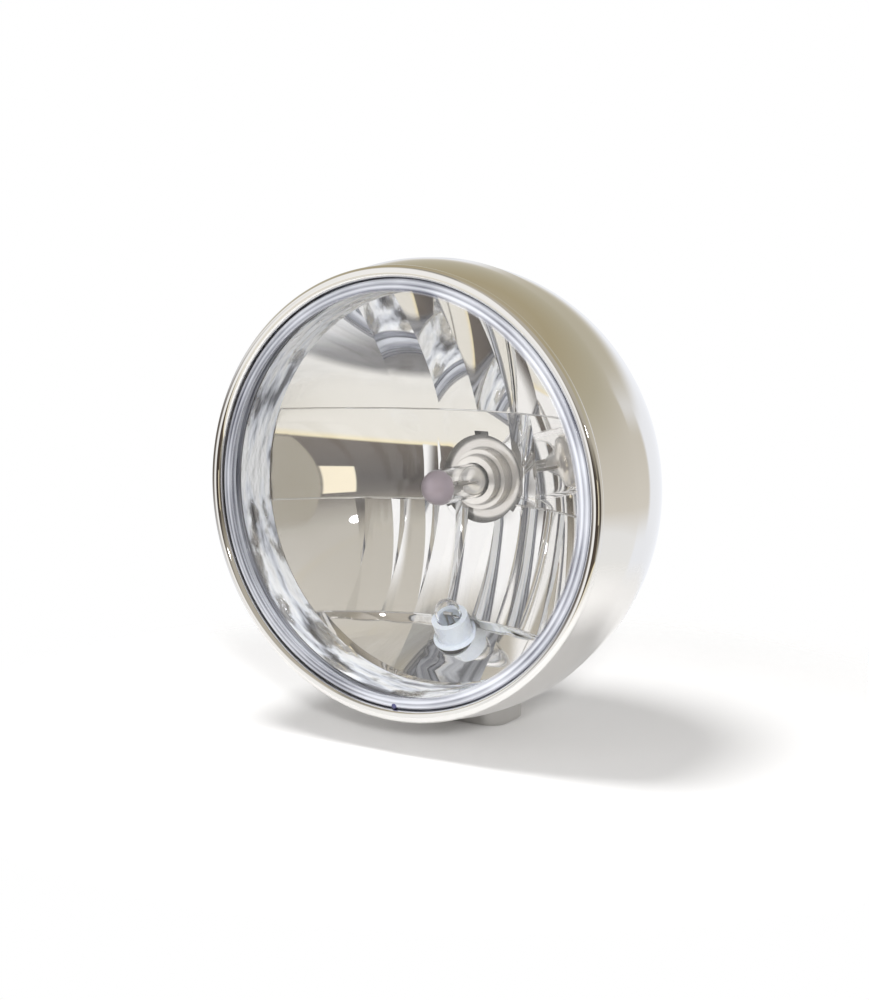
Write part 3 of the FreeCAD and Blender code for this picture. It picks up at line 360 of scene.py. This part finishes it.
def streaks(flow, along, across, detail=3.0):
    """Noise from 0 to 1 drawn out round the lamp's axis: long features by the first size, short by the
    other."""
    place = flow.node("ShaderNodeTexCoord", out="Object")
    drawn = flow.node("ShaderNodeVectorMath", {"operation": "MULTIPLY"}, {
        0: place, 1: (1000.0 / along, 1000.0 / across, 1000.0 / along)})
    return flow.node("ShaderNodeTexNoise", {}, {"Vector": drawn, "Scale": 1.0, "Detail": detail})


def turned_piece(name, profile, steps, ends, material, centre=(0.0, 0.0, 0.0), axis=(0.0, 1.0, 0.0)):
    """Piece turned about an axis: each profile point, a radius and a distance along the axis, goes round
    in equal steps. Its ends are single points on the axis, join in a loop, or stay open."""
    axis = np.array(axis) / np.linalg.norm(axis)
    first = np.array([1.0, 0.0, 0.0])
    second = np.cross(first, axis)
    turn = np.linspace(0.0, 2 * np.pi, steps, endpoint=False)[None, :, None]
    rows = profile[1:-1] if ends == "points" else profile
    radius, along = rows[:, 0][:, None, None], rows[:, 1][:, None, None]
    rings = np.array(centre) + along * axis + radius * (np.cos(turn) * first + np.sin(turn) * second)
    tips = np.array(centre) + profile[[0, -1], 1][:, None] * axis
    points, faces = ring_skin(rings, tips if ends == "points" else None, ends == "loop")
    return add_piece(name, lamp_points(*points.T), faces, material)


# Painted glints and dark reflections: the colour's streaks run from near black to white.
satin_coat_with_painted_glints = coated("satin mirror coat with painted glints", lambda flow: {
    "Base Color": flow.node("ShaderNodeValToRGB", {"stops": [
        (0.34, (0.20, 0.205, 0.23)), (0.43, (0.66, 0.68, 0.74)), (0.50, (0.92, 0.94, 0.98)),
        (0.58, (1.0, 1.0, 1.0))]}, {"Fac": streaks(flow, 26, 5.5, 4.0)}),
    "Metallic": between(streaks(flow, 17, 9), 0.50, 0.64),
    "Roughness": cloud(flow, 4) * 0.20 + 0.06,
    "Normal": bumped(flow, streaks(flow, 9, 4.0, 2.0), 1.3),
})
wall_depth = np.linspace(WALL_FOOT_DEPTH - WALL_END_GAP, WALL_MOUTH_DEPTH + WALL_END_GAP, 14)
wall_radius = np.interp(wall_depth, [WALL_MOUTH_DEPTH, WALL_FOOT_DEPTH], [WALL_MOUTH_RADIUS, BOWL_RADIUS])
wall_profile = np.stack([wall_radius - WALL_COAT, wall_depth], axis=-1)
turned_piece("grained_wall", wall_profile, 360, "open", satin_coat_with_painted_glints)


# Lens: clear moulded polycarbonate, domed, with a barrel and shoulder that fill the trim ring's opening.
# A bead of pale sealant in the reflector's channel bonds it, so the optical unit is closed for good.

LENS_RISE = 10.0
LENS_FRONT = -8.0
LENS_REAR = -5.0
LENS_EDGE = 88.0
LENS_REAR_EDGE = 86.6
LENS_ROUND = 1.6
# Corners of the barrel, the shoulder and the skirt, from the front's round edge to the rear dome.
LENS_SKIRT = np.array([[89.6, 3.6], [89.6, 6.5], [90.8, 6.5], [90.8, 16.5], [87.8, 16.5],
                       [87.8, 9.5], [86.6, 9.5], [86.6, 5.0]])
TAB_PROFILE = np.array([[0.0, 1.5], [0.7, 1.5], [1.15, 1.9], [1.2, 6.3], [0.0, 6.3]])
TAB_CENTRE = (0.0, 0.0, -88.6)
CORNER_NEAR = 0.10
CORNER_FAR = 0.25
FROST_START = 83.6
FROST_FADE = 1.6
FROST_SHARE = 0.72
FROST_SPAN = 9.09
FROST_SLANT = 0.25
FROST_GRAIN = 1.8
FROST_DARKEN = 0.98
# Painted highlight and shade lines on the frosting, in place of reflections inside the lens's skirt, by
# their place in the span, from where the frosting starts outwards, and their tone.
FROST_PAINTED_LIGHT_LINES = [(0.0, 0.15), (0.10, 0.75), (0.20, 0.25), (0.34, 1.0), (0.44, 0.30), (0.58, 0.95),
               (0.72, 0.20), (1.0, 0.60)]


def off_axis(flow):
    """Distance from the lamp's axis in millimetres."""
    place = flow.node("ShaderNodeTexCoord", out="Object")
    centred = flow.node("ShaderNodeVectorMath", {"operation": "SUBTRACT"}, {
        0: place, 1: (0.0, 0.0, AXIS_HEIGHT / 1000)})
    flat = flow.node("ShaderNodeVectorMath", {"operation": "MULTIPLY"}, {
        0: centred, 1: (1000.0, 0.0, 1000.0)})
    return flow.node("ShaderNodeVectorMath", {"operation": "LENGTH"}, {0: flat}, out="Value")


def behind_bead(flow):
    """Distance behind the bead's front in millimetres."""
    place = flow.node("ShaderNodeTexCoord", out="Object")
    return flow.node("ShaderNodeSeparateXYZ", {}, {0: place}, out="Y") * 1000.0 - BEAD_FRONT


def toned(flow, amount, tones):
    """A grey by an amount, through stops of place and tone."""
    stops = [(place, (tone, tone, tone)) for place, tone in tones]
    return flow.node("ShaderNodeValToRGB", {"stops": stops}, {"Fac": amount})


def clear_body(flow, bending, colour=(1.0, 1.0, 1.0)):
    """A clear surface with an index of refraction."""
    return flow.node("ShaderNodeBsdfPrincipled", {}, {
        "Base Color": (*colour, 1.0), "Transmission Weight": 1.0, "IOR": bending, "Roughness": 0.0})


def see_through(name, surface):
    """A material with a surface, a function of its flow, that lets lamplight straight through to what
    lies behind it."""
    material, flow = new_finish(name)
    lit = flow.node("ShaderNodeLightPath", out="Is Shadow Ray")
    passed = flow.node("ShaderNodeBsdfTransparent", {}, {"Color": (0.90, 0.91, 0.92, 1.0)})
    flow.node("ShaderNodeOutputMaterial", {}, {
        "Surface": flow.node("ShaderNodeMixShader", {}, {0: lit, 1: surface(flow), 2: passed})})
    return material


def lens_surface(flow):
    """Clear in the middle and frosted outside a circle, where lines of painted highlight and painted shade
    run round the skirt.
    """
    radius = off_axis(flow)
    outwards = radius - FROST_START + behind_bead(flow) * FROST_SLANT
    # Painted light: the lines' tones are painted highlights and painted shade, standing in for light
    # reflected inside the lens's skirt.
    lines = toned(flow, outwards * (1 / FROST_SPAN), FROST_PAINTED_LIGHT_LINES)
    painted_light_and_grain = lines + streaks(flow, 40, 1.8, 2.0) * FROST_GRAIN - FROST_DARKEN
    frost_with_painted_lines = flow.node("ShaderNodeBsdfPrincipled", {}, {
        "Base Color": tint(flow, painted_light_and_grain, (0.05, 0.055, 0.09), (0.86, 0.88, 0.95)),
        "Roughness": 0.22, "Coat Weight": 0.6, "Coat Roughness": 0.05})
    frosted = between(radius, FROST_START, FROST_START + FROST_FADE) * FROST_SHARE
    clear = clear_body(flow, 1.45, (0.985, 0.99, 1.0))
    return flow.node("ShaderNodeMixShader", {}, {0: frosted, 1: clear, 2: frost_with_painted_lines})


def dome_profile(radius, edge, crown):
    """Profile of a dome: an arc that rises by LENS_RISE at its edge, so the radius of its sphere is the sum
    of the two squares over twice the rise, and depth is the crown's plus the sphere's sagitta."""
    sphere = (edge ** 2 + LENS_RISE ** 2) / (2 * LENS_RISE)
    return np.stack([radius, crown + sphere - np.sqrt(sphere ** 2 - radius ** 2)], axis=-1)


def arc(centre, radius, degrees):
    """Points of a circle in a profile, by angles that begin at its front and turn outwards."""
    turn = np.radians(degrees)
    return np.stack([centre[0] + radius * np.sin(turn), centre[1] - radius * np.cos(turn)], axis=-1)


def softened(corners):
    """Profile through corners, with two points close to each end of every straight, so that only the
    corners themselves are shaded round."""
    starts, ends = corners[:-1], corners[1:]
    way = (ends - starts) / np.linalg.norm(ends - starts, axis=1, keepdims=True)
    points = [starts + way * CORNER_NEAR, starts + way * CORNER_FAR,
              ends - way * CORNER_FAR, ends - way * CORNER_NEAR]
    return np.stack(points, axis=1).reshape(-1, 2)


clear_lens = see_through("clear lens with frosted skirt and painted light lines", lens_surface)
lens_profile = np.concatenate([
    dome_profile(np.linspace(0.0, LENS_EDGE, 80), LENS_EDGE, LENS_FRONT),
    arc((LENS_EDGE, LENS_FRONT + LENS_RISE + LENS_ROUND), LENS_ROUND, np.linspace(0.0, 90.0, 10)[1:]),
    softened(LENS_SKIRT)[1:],
    dome_profile(np.linspace(LENS_REAR_EDGE, 0.0, 80), LENS_REAR_EDGE, LENS_REAR),
])
lens = turned_piece("lens_dome", lens_profile, 300, "points", clear_lens)
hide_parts("lens")

# The lens's clear locating tab is coloured dark blue as painted shade of the gap seen through it.
locator = coated("locator with painted shade", lambda flow: {
    "Base Color": tint(flow, cloud(flow, 2), (0.045, 0.045, 0.12), (0.09, 0.09, 0.20)),
    "Roughness": cloud(flow, 1.5) * 0.2 + 0.25,
})
turned_piece("lens_tab", TAB_PROFILE, 24, "points", locator, centre=TAB_CENTRE)

sealant = coated("sealant", lambda flow: {
    "Base Color": tint(flow, cloud(flow, 6), (0.62, 0.63, 0.68), (0.74, 0.75, 0.80)),
    "Roughness": cloud(flow, 10) * 0.2 + 0.35,
})
dress(sealant, "lens_seal")


# Main bulb: a halogen capsule in a stepped, plated steel base that seats in the reflector's hole.
# The glass is clear but for its tip, which is dipped in purple grey paint against glare.

BASE_REACH = 22.5
# Painted shade on the base's steps by radius: bright flats, a dark line of painted shade at each step and a
# dark disc outside painted as the shaded gap round it.
BASE_PAINTED_SHADE_RINGS = [(0.0, 1.0), (10.4, 1.0), (11.2, 0.35), (11.9, 0.95), (13.2, 0.95), (13.9, 0.3), (14.6, 0.85),
              (17.2, 0.85), (18.3, 0.22), (20.5, 0.12), (BASE_REACH, 0.12)]
PINCH_PROFILE = np.array([[0.0, 63.5], [2.0, 63.5], [3.4, 64.4], [5.2, 64.7], [6.2, 65.6], [6.3, 70.0],
                          [0.0, 70.0]])
PAINT_END = 38.8
PAINT_FADE = 0.3
PAINT_WAVER = 0.8


def mixed(flow, amount, under, over, blend="MIX"):
    """One colour over another by an amount, laid on it or blended with it another way."""
    return flow.node("ShaderNodeMix", {"data_type": "RGBA", "blend_type": blend}, {
        0: amount, 6: under, 7: over}, out=2)


def painted_base_shade(flow):
    """Painted shade of the stepped base by distance from the lamp's axis: dark lines at its steps and a
    dark disc outside.
    """
    tones = [(radius / BASE_REACH, tone) for radius, tone in BASE_PAINTED_SHADE_RINGS]
    return toned(flow, off_axis(flow) * (1 / BASE_REACH), tones)


def bulb_surface(flow):
    """Clear glass, with paint in front of a slightly uneven line across the axis."""
    paint = flow.node("ShaderNodeBsdfPrincipled", {}, {
        "Base Color": tint(flow, cloud(flow, 4), (0.33, 0.26, 0.29), (0.43, 0.36, 0.40)),
        "Metallic": 0.35, "Roughness": 0.36, "Coat Weight": 0.3})
    uneven = behind_bead(flow) + cloud(flow, 3) * PAINT_WAVER
    painted = between(uneven, PAINT_END + PAINT_FADE, PAINT_END - PAINT_FADE)
    return flow.node("ShaderNodeMixShader", {}, {0: painted, 1: clear_body(flow, 1.2), 2: paint})


# The plated steel's colour is multiplied by the base's painted shade rings.
bulb_steel = coated("plated bulb steel", lambda flow: {
    "Base Color": mixed(flow, 1.0, tint(flow, cloud(flow, 5), (0.86, 0.81, 0.74), (0.96, 0.92, 0.87)),
                        painted_base_shade(flow), "MULTIPLY"),
    "Metallic": 0.6,
    "Roughness": cloud(flow, 3) * 0.10 + 0.09,
})
dress(bulb_steel, "bulb_base")
turned_piece("bulb_pinch", PINCH_PROFILE, 64, "points", bulb_steel)

bulb_glass = see_through("bulb glass with painted tip", bulb_surface)
dress(bulb_glass, "bulb_glass")

filament_wire = coated("filament wire", lambda flow: {
    "Base Color": tint(flow, cloud(flow, 1.5), (0.52, 0.50, 0.48), (0.74, 0.72, 0.70)),
    "Metallic": 1.0,
    "Roughness": cloud(flow, 1.0) * 0.2 + 0.25,
})
dress(filament_wire, "bulb_filaments", "parking_bulb_filament")

dark_plastic = coated("dark bulb plastic", lambda flow: {
    "Base Color": tint(flow, cloud(flow, 4), (0.020, 0.019, 0.018), (0.045, 0.043, 0.040)),
    "Roughness": cloud(flow, 2) * 0.2 + 0.4,
})
dress(dark_plastic, "bulb_insulator")

brass_blade = coated("brass blade", lambda flow: {
    "Base Color": tint(flow, cloud(flow, 5), (0.62, 0.45, 0.20), (0.80, 0.62, 0.33)),
    "Metallic": 1.0,
    "Roughness": cloud(flow, 3) * 0.15 + 0.2,
})
dress(brass_blade, "bulb_terminals")


# Bayonet ring and boot: a zinc plated pressing turns under the reflector's collar and holds the bulb,
# and a moulded rubber boot stretched over the collar keeps water away from the terminals.

zinc_steel = coated("zinc plated steel", lambda flow: {
    "Base Color": tint(flow, cloud(flow, 8, 4.0), (0.46, 0.46, 0.47), (0.66, 0.66, 0.66)),
    "Metallic": 1.0,
    "Roughness": cloud(flow, 4) * 0.18 + 0.26,
})
dress(zinc_steel, "bulb_lock_ring")

black_rubber = coated("black rubber", lambda flow: {
    "Base Color": tint(flow, cloud(flow, 6), (0.012, 0.012, 0.013), (0.030, 0.030, 0.032)),
    "Roughness": cloud(flow, 3) * 0.2 + 0.5,
    "Normal": bumped(flow, cloud(flow, 0.8), 0.02),
})
dress(black_rubber, "bulb_boot")


# Parking bulb: a small wedge bulb in a milky moulded holder, pushed with its rubber seal through a
# boss in the bottom of the reflector.

HOLDER_SEAT = (0.0, 54.0, -67.5)
HOLDER_AXIS = (0.0, -0.545, 0.839)
COLLAR_PROFILE = np.array([[10.2, 0.1], [10.3, 0.3], [10.2, 0.9], [9.9, 1.1], [8.6, 1.2], [8.3, 1.5],
                           [8.25, 0.1]])

white_plastic = coated("milky holder plastic", lambda flow: {
    "Base Color": tint(flow, cloud(flow, 5), (0.78, 0.84, 0.95), (0.88, 0.92, 0.99)),
    "Roughness": cloud(flow, 4) * 0.15 + 0.2,
    "Subsurface Weight": 0.4,
    "Subsurface Radius": (0.004, 0.004, 0.005),
    "Coat Weight": 0.4,
})
dress(white_plastic, "parking_bulb_holder")
turned_piece("holder_collar", COLLAR_PROFILE, 72, "loop", white_plastic,
             centre=HOLDER_SEAT, axis=HOLDER_AXIS)
dress(black_rubber, "parking_seal")

small_glass = see_through("small bulb glass", lambda flow: clear_body(flow, 1.3))
dress(small_glass, "parking_bulb_glass")


# Trim ring: one sheet pressed to a rolled bead, a groove and a crowned skirt, chromed. A rubber gasket
# lies between its lip and the lens, and a stepped ring screwed to four lugs clamps the optical unit.

PLATING = 0.06
BEAD_CENTRE = (92.5, 2.5)
BEAD_ROUND = 2.5
BEAD_ANGLES = np.linspace(-88.0, 140.0, 40)
GROOVE_START = np.array([[94.107, 4.415]])
GROOVE_END = np.array([[93.6, 6.0]])
GROOVE_FACING = np.array([[0.952, 0.305]])
GROOVE_SHARES = np.array([[0.06], [0.3], [0.7], [0.93]])
CROWN_CENTRE = (40.8, 28.0)
CROWN_ROUND = 57.2
CROWN_ANGLES = [67.38, 67.5, *np.linspace(68.0, 90.0, 40)]
SKIRT_DEPTHS = np.linspace(30.0, 36.0, 4)

chrome = coated("chrome", lambda flow: {
    "Base Color": tint(flow, cloud(flow, 70), (0.785, 0.770, 0.745), (0.815, 0.805, 0.790)),
    "Metallic": 1.0,
    "Roughness": cloud(flow, 30) * 0.02 + 0.02,
    "Normal": bumped(flow, cloud(flow, 9), 0.0012),
})
dress(chrome, "trim_ring")
skirt_radius = np.full(len(SKIRT_DEPTHS), CROWN_CENTRE[0] + CROWN_ROUND + PLATING)
ring_profile = np.concatenate([
    arc(BEAD_CENTRE, BEAD_ROUND + PLATING, BEAD_ANGLES),
    GROOVE_START * (1 - GROOVE_SHARES) + GROOVE_END * GROOVE_SHARES + PLATING * GROOVE_FACING,
    arc(CROWN_CENTRE, CROWN_ROUND + PLATING, CROWN_ANGLES),
    np.stack([skirt_radius, SKIRT_DEPTHS], axis=-1),
])
turned_piece("trim_plating", ring_profile, 360, "open", chrome)
dress(black_rubber, "rim_gasket")
dress(zinc_steel, "retaining_ring", "rim_lugs", "retaining_screws")


# Bucket: a deep drawn steel bowl, chromed, its hemmed mouth nested in the trim ring. A hook at the top
# and a screw into a weld nut at the bottom hold the ring on it. A grommet guards the cable's hole.

BUCKET_RADIUS = 96.75
BUCKET_BAND_END = 40.0
BUCKET_BOWL = 78.0
REAR_FLAT = 22.0
BAND_DEPTHS = np.array([31.0, 35.0, 39.0])
REAR_RADII = np.array([21.9, 21.6, 15.0, 10.0])

dress(chrome, "bucket")
bowl_turn = np.linspace(0.0, math.acos(REAR_FLAT / BUCKET_RADIUS), 72)
bowl_profile = np.stack([(BUCKET_RADIUS + PLATING) * np.cos(bowl_turn),
                         BUCKET_BAND_END + (BUCKET_BOWL + PLATING) * np.sin(bowl_turn)], axis=-1)
bucket_profile = np.concatenate([
    np.stack([np.full(len(BAND_DEPTHS), BUCKET_RADIUS + PLATING), BAND_DEPTHS], axis=-1),
    bowl_profile,
    np.stack([REAR_RADII, np.full(len(REAR_RADII), bowl_profile[-1, 1])], axis=-1),
])
turned_piece("bucket_plating", bucket_profile, 360, "open", chrome)
dress(zinc_steel, "rim_hook", "rim_nut")

bright_screw = coated("bright screw", lambda flow: {
    "Base Color": tint(flow, cloud(flow, 4), (0.70, 0.69, 0.67), (0.80, 0.79, 0.78)),
    "Metallic": 1.0,
    "Roughness": cloud(flow, 2) * 0.1 + 0.12,
})
dress(bright_screw, "rim_screw")
dress(black_rubber, "cable_grommet")


# Mount: a chromed saddle hollowed to the bowl and tapped from below, drawn against the bucket by two
# screws through a curved plate inside.

cast_chrome = coated("chrome on a casting", lambda flow: {
    "Base Color": tint(flow, cloud(flow, 12, 4.0), (0.50, 0.49, 0.475), (0.60, 0.59, 0.575)),
    "Metallic": 1.0,
    "Roughness": cloud(flow, 5) * 0.10 + 0.10,
    "Normal": bumped(flow, cloud(flow, 2.5), 0.012),
})
dress(cast_chrome, "mount_saddle")
dress(zinc_steel, "mount_plate", "mount_screws")


# Floor: a sheet of pale paper under the lamp, which fades away before its edge shows. Sight that has
# passed the lens misses it, so the bowl mirrors only the room, while the chrome mirrors the paper too.

FLOOR_HALF = 0.3
FLOOR_DROP = 0.00005
FADE_START = 0.17
FADE_END = 0.26


def floor_inputs(flow):
    """Inputs of the paper, shown up to a circle about the lamp and gone beyond a wider one."""
    place = flow.node("ShaderNodeTexCoord", out="Object")
    away = flow.node("ShaderNodeVectorMath", {"operation": "LENGTH"}, {0: place}, out="Value")
    return {
        "Base Color": tint(flow, cloud(flow, 60), (0.89, 0.885, 0.88), (0.91, 0.905, 0.90)),
        "Roughness": 0.7,
        "Specular IOR Level": 0.2,
        "Alpha": between(away, FADE_END, FADE_START),
    }


scene = bpy.context.scene
sheet = FLOOR_HALF * np.array([[-1, -1, 0], [1, -1, 0], [1, 1, 0], [-1, 1, 0]]) - [0.0, 0.0, FLOOR_DROP]
floor_mesh = bpy.data.meshes.new("floor")
floor_mesh.from_pydata(sheet.tolist(), [], [(0, 1, 2, 3)])
floor_mesh.materials.append(coated("floor paper", floor_inputs))
floor = bpy.data.objects.new("floor", floor_mesh)
scene.collection.objects.link(floor)
floor.visible_transmission = False


# Studio: the camera sees plain white, and the paper and dull pieces get an even glow. The chrome and the
# mirror show a room of soft patches: a bright table below, a dim side in front with one window and a
# small lamp, and a warm grey ceiling. Two area lamps, themselves unseen, cast the shadows.

BACKDROP = (1.0, 1.0, 1.0, 1.0)
GLOW = (0.40, 0.40, 0.405, 1.0)
# The room behind and ahead by level, from straight down at 0 to straight up at 1.
ROOM_BEHIND = [
    (0.0, (1.02, 1.02, 1.02)), (0.15, (1.02, 1.02, 1.02)), (0.275, (0.97, 0.97, 0.96)),
    (0.37, (0.94, 0.94, 0.94)), (0.43, (0.76, 0.72, 0.65)), (0.60, (0.66, 0.62, 0.54)),
    (0.75, (0.52, 0.48, 0.37)), (0.90, (0.46, 0.40, 0.265)), (1.0, (0.50, 0.44, 0.32)),
]
ROOM_AHEAD = [
    (0.0, (0.17, 0.16, 0.155)), (0.055, (0.17, 0.16, 0.155)), (0.07, (0.90, 0.875, 0.82)),
    (0.265, (0.90, 0.865, 0.78)), (0.285, (1.0, 0.88, 0.58)), (0.2925, (0.115, 0.09, 0.07)),
    (0.45, (0.055, 0.044, 0.037)), (0.515, (0.10, 0.085, 0.07)), (0.585, (0.34, 0.31, 0.26)),
    (0.66, (0.50, 0.465, 0.40)), (1.0, (0.56, 0.52, 0.45)),
]
PALE_WALL = (0.97, 0.99, 1.04, 1.0)
FAR_SIDE = (0.36, 0.325, 0.25, 1.0)
WINDOW = (1.08, 0.96, 0.72, 1.0)
BRIGHT_WALL = (1.06, 1.05, 1.04, 1.0)
DIM_CEILING = (0.33, 0.32, 0.30, 1.0)
RIGHT_DOOR = (0.07, 0.055, 0.045, 1.0)
LEFT_BAND = (0.16, 0.14, 0.12, 1.0)
SMALL_LAMP = (30.0, 30.0, 31.0, 1.0)
SMALL_LAMP_HEADING = (0.584, -0.765, 0.272)
SMALL_LAMP_EDGE = math.cos(math.radians(1.7))
SMALL_LAMP_FULL = math.cos(math.radians(1.1))
# An area lamp is its name, size, power and place.
AREA_LAMPS = [("key", 0.45, 10.5, (-0.22, -0.27, 1.22)), ("flash", 0.10, 6.0, (0.50, -0.73, 0.34))]
AREA_LAMP_AIM = mathutils.Vector((0.0, 0.0, 0.05))


def patched(flow, room, colour, *edges):
    """The room with a patch of colour. Each edge is a direction, where the patch begins along it and where
    it is full, and the patch shows by the product of their soft steps."""
    shown = between(*edges[0])
    for edge in edges[1:]:
        shown = shown * between(*edge)
    return mixed(flow, shown, room, colour)


def plain_light(flow, colour):
    """Light of one colour from all round."""
    return flow.node("ShaderNodeBackground", {}, {"Color": colour, "Strength": 1.0})


scene.view_settings.view_transform = "Standard"
scene.cycles.max_bounces = 28
scene.cycles.glossy_bounces = 14
scene.cycles.transmission_bounces = 24
world = bpy.data.worlds.new("studio")
scene.world = world
world.use_nodes = True
world.node_tree.nodes.clear()
sky = Flow(world.node_tree)
heading = sky.node("ShaderNodeTexCoord", out="Generated")
east, north, rise = [sky.node("ShaderNodeSeparateXYZ", {}, {0: heading}, out=side) for side in "XYZ"]
level = rise * 0.5 + 0.5
behind = sky.node("ShaderNodeValToRGB", {"stops": ROOM_BEHIND}, {"Fac": level})
behind = patched(sky, behind, PALE_WALL, (east, 0.405, 0.33), (rise, 0.40, 0.12), (rise, -0.6, -0.3))
room = sky.node("ShaderNodeValToRGB", {"stops": ROOM_AHEAD}, {"Fac": level})
room = patched(sky, room, FAR_SIDE, (east, 0.74, 0.75), (rise, -0.42, -0.40), (rise, 0.3, 0.2))
room = patched(sky, room, WINDOW, (east, 0.615, 0.625), (east, 0.745, 0.735), (rise, -0.20, -0.19),
               (rise, 0.04, 0.03))
room = patched(sky, room, BRIGHT_WALL, (east, -0.02, -0.14), (rise, -0.44, -0.42), (rise, 0.85, 0.6))
room = patched(sky, room, DIM_CEILING, (east, -0.17, -0.21), (rise, 0.78, 0.84))
room = mixed(sky, between(north, -0.16, -0.36), behind, room)
room = patched(sky, room, RIGHT_DOOR, (east, 0.78, 0.95), (north, -0.60, -0.30), (north, 0.26, -0.10),
               (rise, -0.52, -0.16), (rise, 0.38, 0.0))
room = patched(sky, room, LEFT_BAND, (east, -0.22, -0.95), (north, -0.82, -0.62), (rise, -0.36, -0.08),
               (rise, 0.26, 0.0))
near_lamp = sky.node("ShaderNodeVectorMath", {"operation": "DOT_PRODUCT"}, {
    0: heading, 1: SMALL_LAMP_HEADING}, out="Value")
room = patched(sky, room, SMALL_LAMP, (near_lamp, SMALL_LAMP_EDGE, SMALL_LAMP_FULL))
to_dull = sky.node("ShaderNodeLightPath", out="Is Diffuse Ray")
to_camera = sky.node("ShaderNodeLightPath", out="Is Camera Ray")
unseen = sky.node("ShaderNodeMixShader", {}, {
    0: to_dull, 1: plain_light(sky, room), 2: plain_light(sky, GLOW)})
backdrop = plain_light(sky, BACKDROP)
sky.node("ShaderNodeOutputWorld", {}, {
    "Surface": sky.node("ShaderNodeMixShader", {}, {0: to_camera, 1: unseen, 2: backdrop})})

for name, size, power, place in AREA_LAMPS:
    lamp_data = bpy.data.lights.new(name, "AREA")
    lamp_data.shape = "DISK"
    lamp_data.size = size
    lamp_data.energy = power
    lamp = bpy.data.objects.new(name, lamp_data)
    lamp.location = place
    lamp.rotation_euler = (lamp.location - AREA_LAMP_AIM).to_track_quat("Z", "Y").to_euler()
    lamp.visible_glossy = False
    lamp.visible_transmission = False
    lamp.visible_camera = False
    scene.collection.objects.link(lamp)


# Camera: in front of the lamp's left side and a little above it, as far away as the photograph's
# perspective needs, with the picture shifted so that the bead's middle falls where it does there.

PHOTO_WIDTH = 869
PHOTO_HEIGHT = 1000
PHOTO_MIDDLE_X = 391.3
PHOTO_MIDDLE_Y = 497.5
SENSOR = 36.0
FOCAL_SHARE = 1.70
DISTANCE = 0.7
AIM = np.array([0.0, BEAD_FRONT, AXIS_HEIGHT]) / 1000
azimuth = math.radians(32.7)
elevation = math.radians(7.7)
back = np.array([math.sin(azimuth) * math.cos(elevation), -math.cos(azimuth) * math.cos(elevation),
                 math.sin(elevation)])
right = np.array([math.cos(azimuth), math.sin(azimuth), 0.0])
pose = np.eye(4)
pose[:3] = np.stack([right, np.cross(back, right), back, AIM + DISTANCE * back], axis=-1)
camera_data = bpy.data.cameras.new("camera")
camera_data.sensor_width = SENSOR
camera_data.lens = SENSOR * FOCAL_SHARE
camera_data.shift_x = (PHOTO_WIDTH / 2 - PHOTO_MIDDLE_X) / PHOTO_HEIGHT
camera_data.shift_y = (PHOTO_MIDDLE_Y - PHOTO_HEIGHT / 2) / PHOTO_HEIGHT
camera_data.clip_start = 0.01
camera = bpy.data.objects.new("camera", camera_data)
scene.collection.objects.link(camera)
camera.matrix_world = pose.T.tolist()
scene.camera = camera
